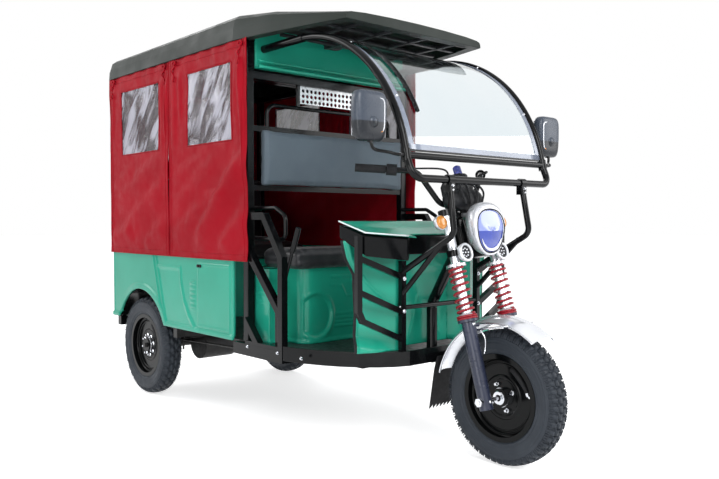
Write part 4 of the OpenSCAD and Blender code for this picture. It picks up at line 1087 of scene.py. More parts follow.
@dataclass
class Wheel:
    """Tyre with moulded tread, and the fastenings of its rim.

    Attributes:
        tyre: The tyre's node.
        rim: The rim's node.
        body: The body that carries both.
        tread: Pattern of the tread.
        pitches: Repeats of the pattern around the tyre.
        outward: Sign of Y on which its outer face lies.
        radius: Tread radius.
        bead: Bead radius.
        half: Half width.
        depth: Depth of the grooves.
    """

    tyre: str
    rim: str
    body: Body
    tread: Tread
    pitches: int
    outward: float
    radius: float = 0.255
    bead: float = 0.1503
    half: float = 0.05
    depth: float = 0.0085

    OUTLINE = ((0.0, 0.735), (0.08, 0.755), (0.15, 0.80), (0.22, 0.88), (0.38, 0.97), (0.55, 1.0), (0.74, 0.96),
               (0.87, 0.86), (0.945, 0.72), (0.985, 0.48), (1.0, 0.2), (1.0, 0.0))
    WIDEST = 5
    RINGS = ((0.171, 0.0045), (0.184, 0.003), (0.206, 0.002), (0.216, 0.003))
    RING_RISE = 0.0022
    SEAT = (0.006, 0.02)
    LUGS = {
        Tread.STREET: (Lug(0.0, 0.03, 0.34, lambda t: (-0.42 + 0.3 * abs(t - 0.5), 0.34 + 0.3 * abs(t - 0.5))),
                       Lug(0.0, 0.46, 0.975, lambda t: (-0.30 + 0.22 * t, 0.30 + 0.22 * t)),
                       Lug(0.5, 0.40, 0.50, lambda t: (-0.10, 0.12), -0.001)),
        Tread.CHUNKY: (Lug(0.0, 0.02, 0.40, lambda t: (-0.43 + 0.26 * abs(t - 0.5), 0.43 - 0.26 * abs(t - 0.5))),
                       Lug(0.5, 0.46, 0.95, lambda t: (-0.37 + 0.16 * abs(t - 0.3), 0.37 - 0.16 * abs(t - 0.3)))),
    }
    LUG_SHARES = (0.0, 0.125, 0.375, 0.625, 0.875, 1.0)
    LUG_ROOT = 0.003
    LUG_CHAMFER = 0.0012
    RIBS_PER_PITCH = 3
    RIB = ((-0.008, -0.001), (-0.004, 0.0012), (0.004, 0.0012), (0.008, -0.001))
    SHOULDER = ((0.2435, 0.0445), (0.236, 0.0468), (0.2285, 0.0482))
    FACE = 0.0165
    ARCHES = ((0.137, 0.006, 0.016), (0.126, 0.006, 0.009), (0.108, 0.012, 0.006), (0.076, 0.014, 0.010))
    ARCH_ROOT = 0.003
    LIP = ((0.150, 0.030), (0.153, 0.0415), (0.160, 0.0435), (0.166, 0.0425), (0.168, 0.038), (0.166, 0.034))
    NUTS = {Tread.STREET: 4, Tread.CHUNKY: 8}
    NUT_RING = 0.052
    NUT = ((0.0, 0.015), (0.0075, 0.015), (0.0098, 0.013), (0.0098, 0.004), (0.0140, 0.004), (0.0140, -0.002))
    STUD = (0.010, 0.024)
    HUB = {
        Tread.STREET: (((0.011, 0.046), (0.0125, 0.0525), (0.0235, 0.0525), (0.0265, 0.050), (0.0265, 0.037),
                        (0.0365, 0.0368), (0.0365, 0.018)), 40),
        Tread.CHUNKY: (((0.0, 0.052), (0.010, 0.052), (0.0125, 0.049), (0.0125, 0.038), (0.020, 0.038),
                        (0.022, 0.0365), (0.034, 0.0365), (0.036, 0.033), (0.036, 0.018)), 24),
    }
    STEM_RING = 0.119
    STEM_STEPS = 14

    def skin(self, y: float) -> float:
        """Radius of the tread's top at a distance from the middle."""
        rows = [(s * self.half, mix(self.bead, self.radius, r)) for r, s in reversed(self.OUTLINE[self.WIDEST:])]
        return lookup(rows, abs(y))

    def spot(self, radius: float, y: float, angle: float) -> Vector:
        """A point of the wheel."""
        return middle(self.tyre) + Vector((radius * cos(angle), y, radius * sin(angle)))

    def build(self) -> None:
        """Makes the tyre, and bolts on the rim."""
        shape = Shape()
        side = [(mix(self.bead, self.radius, r), s * self.half) for r, s in self.OUTLINE]
        path = [(p.x, p.y) for p in spline([(r, y, 0) for r, y in side], 7)]
        carcass = []
        for r, y in path + [(r, -y) for r, y in reversed(path[:-1])]:
            sunk = self.depth * smooth((r - self.radius + 0.030) / 0.014)
            ring = self.RING_RISE * max(ridge(r - k, w) for k, w in self.RINGS)
            carcass.append((r - sunk, y + copysign(ring, y)))
        rise, seat = self.SEAT
        carcass += [(self.bead + rise, -seat), (self.bead + rise, seat)]
        shape.lathe(carcass, middle(self.tyre), (0, 1, 0), 120, loop=True)
        self.pattern(shape)
        shape.piece(self.tyre + "_treaded", Coat.TYRE, self.body, [self.tyre])
        self.fasten()

    def lug(self, shape: Shape, turn: float, s: int, lug: Lug) -> None:
        """Adds one tread block.

        Args:
            shape: Shape to add it to.
            turn: Angle of the block in radians.
            s: Sign of Y on which it lies.
            lug: The block.
        """
        pitch = tau / self.pitches
        inset = self.LUG_CHAMFER / self.radius
        rows = []
        for share in self.LUG_SHARES:
            y = mix(s * lug.low * self.half, s * lug.high * self.half, share)
            a, b = (turn + e * pitch for e in lug.ends(share))
            root = self.skin(y) - self.depth - self.LUG_ROOT
            top = root if share in (0.0, 1.0) else self.skin(y) + lug.lift
            rows.append([self.spot(root, y, a), self.spot(top, y, a + inset), self.spot(top, y, b - inset),
                         self.spot(root, y, b)])
        shape.grid(rows)

    def pattern(self, shape: Shape) -> None:
        """Adds the tread blocks and the ribs of the shoulders."""
        pitch = tau / self.pitches
        for i in range(self.pitches):
            for s in SIDES:
                shift = 0.0 if s < 0 else 0.5 * pitch
                for lug in self.LUGS[self.tread]:
                    self.lug(shape, i * pitch + shift + lug.shift * pitch, s, lug)
        for i in range(self.pitches * self.RIBS_PER_PITCH):
            turn = i * pitch / self.RIBS_PER_PITCH
            for s in SIDES:
                shape.grid([[self.spot(r, s * (y + up), turn + a) for a, up in self.RIB] for r, y in self.SHOULDER])

    def fasten(self) -> None:
        """Adds rings, nuts, hub and valve to the rim."""
        centre, out, face = middle(self.rim), self.outward, self.FACE
        axis = (0, out, 0)
        bright, dark, valve = Shape(), Shape(), Shape()
        root = self.ARCH_ROOT
        for radius, width, height in self.ARCHES:
            arch = [(radius + width * cos(a), face - root + (height + root) * sin(a))
                    for a in (pi * k / 10 for k in range(11))]
            dark.lathe(arch, centre, axis, 72)
        dark.lathe(self.LIP, centre, axis, 72)
        count = self.NUTS[self.tread]
        for i in range(count):
            a = tau * (i + 0.3) / count
            spot = centre + Vector((self.NUT_RING * cos(a), 0, self.NUT_RING * sin(a)))
            bright.lathe([(r, face + h) for r, h in self.NUT], spot, axis, 6)
            bright.tube([spot + Vector((0, out * (face + h), 0)) for h in self.STUD], 0.0052, 8)
        hub, facets = self.HUB[self.tread]
        bright.lathe(hub, centre, axis, facets)
        stem = []
        for k, turn in enumerate(even(68, 16, self.STEM_STEPS)):
            a, bulge = radians(turn), 0.026 + 0.010 * sin(k / self.STEM_STEPS * pi)
            stem.append(centre + Vector((self.STEM_RING * cos(a), out * bulge, self.STEM_RING * sin(a))))
        valve.tube(stem, lambda t: mix(0.0115, 0.0085, t), 14)
        tip = (stem[-1] - stem[-2]).normalized()
        bright.tube([stem[-1] - tip * 0.004, stem[-1] + tip * 0.010], 0.0098, 14)
        bright.tube([stem[-1] + tip * 0.010, stem[-1] + tip * 0.019], 0.0052, 12)
        bright.piece(self.rim + "_nuts", Coat.CHROME, self.body, soft=False)
        dark.piece(self.rim + "_rings", Coat.RIM, self.body)
        valve.piece(self.rim + "_valve", Coat.RUBBER, self.body)


@dataclass
class Panel:
    """Pressed green side panel with its arch, ridges, louvres and hatch.

    Attributes:
        side: Side of the vehicle.
        plane: Distance of its skin from the middle.
        ends: Rear and front ends.
        low: Height of the sill.
        high: Height of the top.
        arch: Centre and radius of the wheel arch.
        step: Spacing of its mesh.
        thick: Depth of its folded edges.
    """

    side: Side
    plane: float = 0.5
    ends: Pair = (-0.33, 0.905)
    low: float = 0.39
    high: float = 0.77
    arch: Triple = (0.005, 0.268, 0.29)
    step: float = 0.0058
    thick: float = 0.014

    LINES = (Crease((0.145, 0.742), (0.249, 0.405), 0.011, 0.0065, 1.0, 0.03),
             Crease((0.179, 0.742), (0.283, 0.405), 0.011, 0.0065, 1.0, 0.03),
             Crease((0.19, 0.690), (0.425, 0.690), 0.020, 0.0045, 0.3, 0.05),
             Crease((0.430, 0.690), (0.441, 0.610), 0.013, 0.0060, 1.0, 0.0),
             Crease((0.441, 0.610), (0.468, 0.530), 0.014, 0.0062, 1.0, 0.0),
             Crease((0.468, 0.530), (0.510, 0.465), 0.016, 0.0064, 1.0, 0.0),
             Crease((0.510, 0.465), (0.566, 0.408), 0.018, 0.0066, 1.0, 0.0),
             Crease((-0.318, 0.76), (-0.318, 0.40), 0.007, 0.003, 0.3, 0.02))

    HATCH = (0.594, 0.889, 0.410, 0.727)
    HATCH_LINE = (0.606, 0.877, 0.424, 0.713)
    LOUVRES = (0.524, 0.58, 0.49, 0.63)
    LOUVRE_FOOT = 0.497
    LOUVRE_PITCH = 0.022

    @staticmethod
    def within(box: tuple[float, float, float, float], x: float, z: float) -> float:
        """How far a point lies inside a box of left, right, bottom and top."""
        left, right, low, high = box
        return min(x - left, right - x, z - low, high - z)

    def relief(self, x: float, z: float) -> float:
        """Height of the pressing at a point."""
        ax, az, ar = self.arch
        gap = hypot(x - ax, z - az) - ar
        lip = 0.0078 * smooth((0.036 - gap) / 0.012) * smooth((x - ax + 0.22) / 0.2)
        sill = 0.0075 * smooth((self.low + 0.024 - z) / 0.006)
        lines = max(c.height(x, z) for c in self.LINES)
        louvre = 0.0
        if self.within(self.LOUVRES, x, z) > 0:
            share = ((z - self.LOUVRE_FOOT) / self.LOUVRE_PITCH) % 1.0
            louvre = 0.006 * smooth(share / 0.75) * (1 - smooth((share - 0.75) / 0.2)) * ridge(x - 0.552, 0.03) ** 0.4
        edge = self.within(self.HATCH, x, z)
        hatch = -0.004 * ridge(edge, 0.0045) + (0.0028 * smooth((edge - 0.004) / 0.004) if edge > 0 else 0.0)
        inner = 0.0016 * ridge(self.within(self.HATCH_LINE, x, z), 0.005)
        top = 0.004 * smooth((z - self.high + 0.012) / 0.006)
        return max(lip, sill, lines, louvre, hatch + inner if -0.006 < edge else 0.0, top)

    def floor(self, x: float) -> float:
        """Lowest height of the skin at a place: the sill, or the arch."""
        ax, az, ar = self.arch
        inside = ar * ar - (x - ax) ** 2
        return max(self.low, az + sqrt(inside)) if inside > 0 else self.low

    def build(self) -> None:
        """Presses the skin and hangs the hatch's latch."""
        y = self.side.value
        ax, az, ar = self.arch
        foot = sqrt(ar * ar - (self.low - az) ** 2)
        xs = spaced((self.ends[0], ax - foot, ax + foot, self.ends[1]), self.step)
        n = ceil((self.high - self.low) / self.step)
        rows = [[at(x, y * (self.plane + self.relief(x, z)), z) for x in xs
                 for z in (mix(self.floor(x), self.high, k / n),)] for k in range(n + 1)]
        skin = Shape()
        skin.grid(rows if self.side is Side.RIGHT else rows[::-1])
        tag = self.side.name.lower()
        skin.piece(f"side_panel_{tag}", Coat.GREEN, Body.CHASSIS, ["side_panels"] if y < 0 else (),
                   wall=self.thick)
        latch = Shape()
        latch.block(at(0.600, y * 0.501 - 0.006, 0.698), at(0.636, y * 0.501 + 0.006, 0.712))
        latch.tube([at(0.612, y * 0.505, 0.705), at(0.612, y * 0.512, 0.705)], 0.007, 12)
        latch.piece(f"hatch_latch_{tag}", Coat.BLACK, Body.CHASSIS, bevel=0.0015)


@dataclass
class SeatBox:
    """Pressed green box under the driver's seat.

    Attributes:
        rear: Rear face from the rear axle.
        step_x: Where it narrows.
        front: Front face.
        wide: Half width behind.
        narrow: Half width in front.
        corner: Radius of the front corners.
        low: Height of the foot.
        high: Height of the top.
    """

    rear: float = 0.936
    step_x: float = 1.096
    front: float = 1.215
    wide: float = 0.44
    narrow: float = 0.345
    corner: float = 0.055
    low: float = 0.39
    high: float = 0.7147

    FRONT = (Crease((-0.200, 0.676), (0.200, 0.676), 0.012, 0.0050, 0.3, 0.02),
             Crease((-0.205, 0.640), (-0.135, 0.633), 0.008, 0.0040, 0.4, 0.05),
             Crease((-0.135, 0.633), (-0.110, 0.589), 0.008, 0.0040, 0.4, 0.0),
             Crease((-0.110, 0.589), (0.110, 0.589), 0.008, 0.0040, 0.4, 0.0),
             Crease((0.110, 0.589), (0.135, 0.633), 0.008, 0.0040, 0.4, 0.0),
             Crease((0.135, 0.633), (0.205, 0.640), 0.008, 0.0040, 0.4, 0.05),
             *(Crease((-0.180, z), (0.180, z), 0.007, 0.0065, 0.4, 0.03) for z in (0.458, 0.476, 0.494, 0.512)))

    BOWL = (0.276, 0.508)
    BOWL_HALF = (0.092, 0.100)
    VENTS = (0.560, 0.576, 0.592, 0.608, 0.624)
    PLATE = 0.004

    def relief(self, x: float, y: float, z: float) -> float:
        """Height of the pressing at a point of the wall."""
        foot = 0.004 * smooth((self.low + 0.016 - z) / 0.005)
        if x > self.front - 0.02:
            v = abs(y) - self.BOWL[0]
            far = hypot(v / self.BOWL_HALF[0], (z - self.BOWL[1]) / self.BOWL_HALF[1])
            arch = ridge(far - 1.0, 0.16) if v > -0.2 else 0.0
            bowl = -0.010 * smooth((1 - far) / 0.2) if far < 1.0 else 0.0
            return max(foot, max(c.height(y, z) for c in self.FRONT), 0.003 * arch) + bowl
        if x < self.step_x - 0.004:
            vents = 0.0045 * max(ridge(z - k, 0.0045) for k in self.VENTS)
            return max(foot, vents * ridge(x - 1.03, 0.034) ** 0.4)
        return foot

    def build(self) -> None:
        """Presses the wall round the box."""
        half = [(self.rear, -self.wide), (self.step_x, -self.wide), (self.step_x, -self.narrow),
                (self.front - self.corner, -self.narrow)]
        bend = [(self.front - self.corner + self.corner * sin(a), -self.narrow + self.corner - self.corner
                 * cos(a)) for a in (pi / 2 * k / 14 for k in range(1, 15))]
        path: list[Pair] = []
        marks = half + bend + [(self.front, 0.0)]
        for (a, b), (c, d) in zip(marks, marks[1:]):
            n = max(1, ceil(hypot(c - a, d - b) / 0.004))
            path += [(mix(a, c, k / n), mix(b, d, k / n)) for k in range(n)]
        path += [(self.front, 0.0)] + [(x, -y) for x, y in reversed(path)]
        zs = spaced((self.low, self.high), 0.006)
        ways = []
        for i, (x, y) in enumerate(path):
            (a, b), (c, d) = path[max(0, i - 1)], path[min(len(path) - 1, i + 1)]
            ways.append(Vector((d - b, a - c, 0)).normalized())
        rows = [[at(x, y, z) + way * self.relief(x, y, z) for (x, y), way in zip(path, ways)] for z in zs]
        wall = Shape()
        wall.grid(rows)
        wall.piece("seat_box_pressed", Coat.GREEN, Body.CHASSIS, ["seat_box"], wall=0.006)
        lid = Shape()
        under = self.high - self.PLATE
        lid.block(at(self.rear, -self.wide, self.low), at(self.rear + self.PLATE, self.wide, self.high))
        lid.block(at(self.rear, -self.wide, under), at(self.step_x, self.wide, self.high))
        lid.block(at(self.step_x, -self.narrow, under), at(self.front - 0.04, self.narrow, self.high))
        lid.piece("seat_box_lid", Coat.GREEN, Body.CHASSIS)


WHEELBASE = middle("front_tyre").x - REAR_X
AXLE_Z = middle("front_tyre").z
RAKE = radians(16)
FORWARD = Vector((cos(RAKE), 0, sin(RAKE)))
UPWARD = Vector((-sin(RAKE), 0, cos(RAKE)))


def steer(x: float, y: float, z: float) -> Vector:
    """A place in the steering frame, whose Z runs up the steering axis from the front axle's height."""
    return at(WHEELBASE, y, AXLE_Z) + FORWARD * (x - 0.045) + UPWARD * z


def bolt(shape: Shape, spot: Vector, way: Sequence[float], size: float) -> None:
    """Adds a hexagon bolt head with its washer.

    Args:
        shape: Shape to add it to.
        spot: Middle of its seat.
        way: Direction that it looks in.
        size: Width across the head.
    """
    r = size / 2
    shape.lathe([(r * 1.45, -0.001), (r * 1.45, 0.0016), (r, 0.0016), (r, 0.0055), (r * 0.8, 0.0068), (0.0, 0.0068)],
                spot, way, 6)


@dataclass
class Fork:
    """Coil springs, mudguard edges and stays on the fork.

    Attributes:
        gauge: Distance of each leg from the middle.
        offset: Legs' distance ahead of the steering axis.
        low: Lower seat of the springs.
        high: Upper seat of the springs.
        coil: Radius of the coils.
        wire: Radius of the wire.
        turns: Number of coils.
    """

    gauge: float = 0.12
    offset: float = 0.045
    low: float = 0.305
    high: float = 0.506
    coil: float = 0.0302
    wire: float = 0.0047
    turns: int = 8

    SEAT_RING = 0.0352
    SLEEVE = ((0.0188, 0.024), (0.0240, 0.023), (0.031, 0.018), (0.031, 0.001))
    COLLAR = ((0.019, 0.0), (0.036, 0.0), (0.038, 0.004), (0.038, 0.009), (0.034, 0.012), (0.019, 0.012))
    BAND = ((0.0235, -0.004), (0.0265, -0.002), (0.0265, 0.002), (0.0235, 0.004))
    BAND_HEIGHTS = (0.255, 0.150, 0.055)
    CROWN = 0.096
    GUARD_RADIUS = 0.307
    GUARD_HALF = 0.066
    TEETH = 6
    TOOTH = 0.0213

    def build(self) -> None:
        """Winds the springs and dresses the guard."""
        springs, sleeves, bright, dark = Shape(), Shape(), Shape(), Shape()
        n = self.turns * 28
        for side in Side:
            y = side.value * self.gauge
            path = []
            for i in range(n + 1):
                t = i / n
                a = tau * self.turns * t
                rise = t - 0.11 * sin(tau * t) / pi
                path.append(steer(self.offset + self.coil * cos(a), y + self.coil * sin(a),
                                  mix(self.low + 0.020, self.high - 0.005, rise)))
            springs.tube(path, self.wire, 10)
            for h in (0.004, 0.0125):
                ring = [steer(self.offset + self.SEAT_RING * cos(a), y + self.SEAT_RING * sin(a),
                              self.low + h) for a in angles(40)]
                springs.tube(ring, 0.0045, 10, closed=True)
            sleeves.lathe(self.SLEEVE, steer(self.offset, y, self.low), UPWARD, 40)
            bright.lathe(self.COLLAR, steer(self.offset, y, self.high + 0.0003), UPWARD, 40)
            for h in self.BAND_HEIGHTS:
                dark.lathe(self.BAND, steer(self.offset, y, h), UPWARD, 32)
            bolt(bright, steer(self.offset + 0.023, y, -0.004), FORWARD, 0.012)
            bolt(bright, steer(self.offset + 0.025, y, 0.285), FORWARD, 0.010)
        springs.piece("fork_coils", Coat.RED, Body.STEERING, ["fork_springs"])
        sleeves.piece("fork_sleeves", Coat.SILVER, Body.STEERING)
        bright.piece("fork_collars", Coat.CHROME, Body.STEERING)
        dark.piece("fork_bands", Coat.FORK, Body.STEERING)
        self.guard()

    def guard(self) -> None:
        """Rolls the mudguard's edges, stays it to the legs and cuts the flap's teeth."""
        bright, flap = Shape(), Shape()
        hub = at(WHEELBASE, 0, AXLE_Z)
        reach = self.GUARD_RADIUS - (self.CROWN - sqrt(self.CROWN ** 2 - self.GUARD_HALF ** 2))

        def rim(turn: float, s: int) -> Vector:
            """A point of the guard's edge at an angle in degrees."""
            a = radians(turn)
            return hub + Vector((reach * cos(a), s * self.GUARD_HALF, reach * sin(a)))

        hose = spline([steer(0.066, -0.088, 0.262), steer(0.078, -0.084, 0.226), steer(0.066, -0.080, 0.190),
                       steer(0.064, -0.090, 0.170)], 8)
        bright.tube(hose, 0.0034, 8)
        for s in SIDES:
            bright.tube([rim(turn, s) for turn in even(53, 168, 60)], 0.0032, 8)
            for turn in (78, 112):
                top = rim(turn, s)
                stay = [top, top + Vector((0, s * 0.016, 0.004)), steer(self.offset + 0.002, s * 0.094, 0.262)]
                bright.tube(spline(stay, 5), 0.004, 8)
        low, down = at(1.682, 0, 0.176), Vector((-0.34, 0, -0.94))
        for k in range(self.TEETH):
            y = mix(-0.064, 0.064, k / self.TEETH)
            tooth = [low + Vector((0, y, 0)), low + Vector((0, y + self.TOOTH, 0)),
                     low + down * 0.021 + Vector((0, y + 0.0040, 0))]
            flap.add([p + Vector((h, 0, 0)) for h in (-0.002, 0.002) for p in tooth],
                     [(0, 1, 2), (5, 4, 3), (0, 3, 4, 1), (1, 4, 5, 2), (2, 5, 3, 0)])
        flap.piece("flap_teeth", Coat.RUBBER, Body.STEERING, soft=False)
        bright.piece("mudguard_edges", Coat.CHROME, Body.STEERING)


@dataclass
class Lamps:
    """Headlamp, turning lamps and spot lamps.

    Attributes:
        wide: Half width of the headlamp's shell.
        tall: Half height of the shell.
    """

    wide: float = 0.090
    tall: float = 0.102

    CENTRE = (0.1145, 0, 0.6395)
    BROAD = 1.08
    SUNK = 0.010
    RINGS = ((0.05, -0.043, 0.0), (0.45, -0.040, 0.0), (0.74, -0.028, 0.0), (0.92, -0.006, 0.0),
             (0.985, 0.012, 0.0), (1.0, 0.024, 0.001), (0.99, 0.033, 0.003), (0.95, 0.0385, 0.006),
             (0.87, 0.041, 0.009, 1.05), (0.82, 0.040, SUNK, BROAD), (0.79, 0.034, SUNK, BROAD))
    LENS_RINGS = (0.80, 0.76, 0.70, 0.6, 0.45, 0.3, 0.15, 0.02)
    CUP = ((0.004, -0.020), (0.016, -0.019), (0.024, -0.012), (0.0275, -0.002), (0.028, 0.006), (0.0265, 0.008),
           (0.0245, 0.006))
    DOME = ((0.0262, 0.005), (0.0258, 0.011), (0.0235, 0.0155), (0.018, 0.0185), (0.010, 0.0198), (0.0, 0.0200))
    SIGNAL_Z = 0.676
    SPOT_RIM = ((0.010, 0.001), (0.024, 0.003), (0.033, 0.010), (0.0355, 0.020), (0.0355, 0.028), (0.033, 0.030),
                (0.0285, 0.030), (0.0265, 0.027), (0.0265, 0.022))
    SPOT_FACE = ((0.027, 0.0235), (0.013, 0.021), (0.0, 0.0205))
    DOT = ((0.0034, -0.001), (0.003, 0.0016), (0.0016, 0.0028), (0.0, 0.0032))
    DOT_RING = 0.0155

    def egg(self, size: float, ahead: float, shift: float, broad: float = 1.0, steps: int = 56) -> list[Vector]:
        """One ring of the headlamp.

        Args:
            size: Share of the full outline.
            ahead: Place along X from the lamp's middle.
            shift: Downward shift of the ring.
            broad: Widening of the ring.
            steps: Points of the ring.

        Returns:
            The ring's points.
        """
        ring = []
        for a in angles(steps):
            up = signed_power(sin(a), 0.92)
            across = signed_power(cos(a), 0.84) * (self.wide + 0.013 * up)
            lean = -0.014 * smooth(up) * (1 - shift / 0.012 * 0.6)
            ring.append(steer(*self.CENTRE)
                        + Vector((ahead + lean, across * size * broad, up * self.tall * size - shift)))
        return ring

    def build(self) -> None:
        """Makes every lamp of the steering head."""
        self.headlamp()
        self.signals()
        self.spots()

    def headlamp(self) -> None:
        """Makes the shell, the lens, and a white arc inside it that is a painted glint."""
        shell, lens, line, arc = Shape(), Shape(), Shape(), Shape()
        shell.grid([self.egg(*r) for r in self.RINGS], ring=True)
        shell.tube([steer(0.027, 0, 0.718), steer(0.085, 0, 0.70)], 0.0095, 14)
        shell.piece("headlamp_shell", Coat.SILVER, Body.STEERING, ["headlamp"])
        lens.grid([self.egg(s, 0.036 + 0.013 * (1 - (s / 0.8) ** 2), self.SUNK, self.BROAD)
                   for s in self.LENS_RINGS], ring=True)
        lens.piece("headlamp_glass", Coat.HEADLAMP, Body.STEERING, ["headlamp_lens"])
        line.tube(self.egg(0.815, 0.0405, self.SUNK, self.BROAD), 0.0022, 8, closed=True)
        line.piece("headlamp_gasket", Coat.RUBBER, Body.STEERING)
        # Painted glint: a white crescent of swelling width along the lower part of the lens.
        low = self.egg(0.66, 0.0425, 0.014, self.BROAD, 72)[40:69]
        arc.tube(low, lambda t: 0.0012 + 0.0050 * sin(pi * t) * (0.6 + 0.8 * t), 8)
        arc.piece("headlamp_painted_glint", Coat.WHITE, Body.STEERING)

    def signals(self) -> None:
        """Makes the orange turning lamps in silver cups."""
        cups, domes, stalks = Shape(), Shape(), Shape()
        z = self.SIGNAL_Z
        for s in SIDES:
            spot = steer(0.062, s * 0.18, z)
            cups.lathe(self.CUP, spot, FORWARD, 40)
            domes.lathe(self.DOME, spot, FORWARD, 40)
            stalks.tube([steer(0.045, s * 0.1383, z), steer(0.058, s * 0.166, z)], 0.007, 14)
            stalks.tube([steer(0.045, s * k, z) for k in (0.1385, 0.146)], 0.011, 14)
        cups.piece("signal_cups", Coat.SILVER, Body.STEERING, ["turn_signals"])
        domes.piece("signal_lenses", Coat.ORANGE, Body.STEERING)
        stalks.piece("signal_stalks", Coat.RUBBER, Body.STEERING)

    def spots(self) -> None:
        """Makes the spot lamps with their bright dots."""
        rims, faces, dots = Shape(), Shape(), Shape()
        across = Vector((0, 1, 0))
        side = FORWARD.cross(across)
        for s in SIDES:
            spot = steer(0.0723, s * 0.108, 0.552)
            rims.lathe(self.SPOT_RIM, spot, FORWARD, 48)
            faces.lathe(self.SPOT_FACE, spot, FORWARD, 40)
            for k in range(9):
                r, a = (0.0, 0.0) if k == 0 else (self.DOT_RING, tau * k / 8)
                place = spot + FORWARD * 0.0215 + across * r * cos(a) + side * r * sin(a)
                dots.lathe(self.DOT, place, FORWARD, 12)
        rims.piece("spot_lamp_rims", Coat.SILVER, Body.STEERING, ["spot_lamps"])
        faces.piece("spot_lamp_faces", Coat.SHELL, Body.STEERING)
        dots.piece("spot_lamp_dots", Coat.WHITE, Body.STEERING)


@dataclass
class Dash:
    """Dial, cap and shroud on the instrument.

    Attributes:
        shroud: Middle of the shroud in the steering frame.
        half: Half sizes of the shroud.
        top: Height of the instrument's top.
    """

    shroud: Triple = (0.046, 0.0, 0.774)
    half: Triple = (0.046, 0.098, 0.044)
    top: float = 0.862

    ROUND = 2.6
    SQUARE = 0.7
    RIBS = (-0.062, -0.020, 0.030, 0.068)
    BEZEL = ((0.050, -0.004), (0.051, 0.008), (0.047, 0.014), (0.043, 0.013))
    GLASS = ((0.0445, 0.0125), (0.030, 0.0165), (0.012, 0.018), (0.0, 0.018))

    def build(self) -> None:
        """Makes the dial, the blue cap and the shroud over the wiring."""
        dark, glass, cap, collar = Shape(), Shape(), Shape(), Shape()
        rows = []
        for rise in even(-89, 89, 20):
            up = sin(radians(rise))
            wide = (1 - abs(up) ** self.ROUND) ** (1 / self.ROUND)
            ring = [(wide * signed_power(cos(a), self.SQUARE), wide * signed_power(sin(a), self.SQUARE), up)
                    for a in angles(48)]
            rows.append([steer(*(m + h * v for m, h, v in zip(self.shroud, self.half, spot))) for spot in ring])
        dark.grid(rows, ring=True)
        for y in self.RIBS:
            dark.tube(spline([steer(0.030, y * 0.6, 0.846), steer(0.084, y * 0.8, 0.828), steer(0.100, y, 0.790),
                              steer(0.094, y * 0.7, 0.742)], 8), 0.0042, 8)
        face = steer(0.029, 0.0, self.top)
        dark.lathe(self.BEZEL, face, UPWARD, 48)
        glass.lathe(self.GLASS, face, UPWARD, 40)
        foot, tip = steer(0.022, 0.040, 0.866), steer(0.004, 0.054, 0.928)
        cap.tube([foot.lerp(tip, t) for t in (0.35, 0.5, 0.75, 0.94, 1.0)],
                 lambda t: 0.0165 - 0.004 * smooth(t * 4 - 3), 24)
        collar.tube([foot, foot.lerp(tip, 0.4)], 0.0115, 20)
        dark.piece("dash_shroud", Coat.SHELL, Body.STEERING)
        glass.piece("dial_glass", Coat.TRIM, Body.STEERING)
        cap.piece("blue_cap", Coat.BLUE, Body.STEERING)
        collar.piece("cap_collar", Coat.SILVER, Body.STEERING)


@dataclass
class Mirrors:
    """Wing mirrors on bent arms.

    Attributes:
        spot: Middle of the left housing.
        half: Half sizes of the housing.
        foot: Where the arm leaves the screen frame.
    """

    spot: Triple = (1.822, 0.525, 1.282)
    half: Triple = (0.026, 0.072, 0.088)
    foot: Triple = (1.885, 0.4223, 1.150)

    def surface(self, a: float, b: float, s: int) -> Vector:
        """A point of the rounded housing from two angles."""
        x = signed_power(cos(b), 0.5) * signed_power(cos(a), 0.5)
        y = signed_power(cos(b), 0.34) * signed_power(sin(a), 0.5)
        z = signed_power(sin(b), 0.36)
        hx, hy, hz = self.half
        taper = 1 - 0.10 * smooth(-z)
        return at(self.spot[0] + x * hx, s * self.spot[1] + y * hy * taper, self.spot[2] + z * hz)

    def build(self) -> None:
        """Makes both mirrors."""
        shells, arms, strips, tips, glass = Shape(), Shape(), Shape(), Shape(), Shape()
        for s in SIDES:
            shells.grid([[self.surface(a, radians(b), s) for a in angles(48)] for b in even(-90, 90, 32)],
                        ring=True)
            x, y, z = self.spot
            fx, fy, fz = self.foot
            bends = [at(fx, s * fy, fz), at(fx, s * (fy + 0.03), fz), at(fx - 0.012, s * (fy + 0.055), fz + 0.006),
                     at(x + 0.018, s * (y - 0.012), 1.166), at(x + 0.012, s * y, 1.186), at(x + 0.006, s * y, 1.215)]
            arms.tube(spline(bends, 6), 0.0058, 12)
            arms.tube([at(fx, s * (fy - 0.004), fz), at(fx, s * (fy + 0.012), fz)], 0.0105, 6)
            arms.tube([at(x + 0.006, s * y, 1.192), at(x + 0.005, s * y, 1.206)], 0.010, 12)
            edge = [at(x + self.half[0] * 0.80, s * y - s * v, z + w) for v, w in
                    ((0.030, 0.062), (0.046, 0.058), (0.0525, 0.044), (0.053, 0.0), (0.051, -0.036), (0.044, -0.052))]
            strips.tube(spline(edge, 6), 0.0042, 8)
            tips.tube([edge[-1], edge[-1] + Vector((0.0, s * 0.012, -0.004))], 0.0044, 8)
            shells.lathe([(0.024, -0.006), (0.020, 0.003), (0.010, 0.007), (0.0, 0.008)],
                         at(x + self.half[0] - 0.002, s * y, z - 0.022), (1, 0, 0), 24)
            glass.block(at(x - self.half[0] - 0.0005, s * y - 0.058, z - 0.070),
                        at(x - self.half[0] + 0.002, s * y + 0.058, z + 0.070))
        shells.piece("mirror_shells", Coat.MIRROR, Body.CHASSIS, ["mirrors"])
        arms.piece("mirror_arms", Coat.BLACK, Body.CHASSIS)
        strips.piece("mirror_strips", Coat.SILVER, Body.CHASSIS)
        tips.piece("mirror_reflectors", Coat.ORANGE, Body.CHASSIS)
        glass.piece("mirror_glasses", Coat.CHROME, Body.CHASSIS, bevel=0.001)


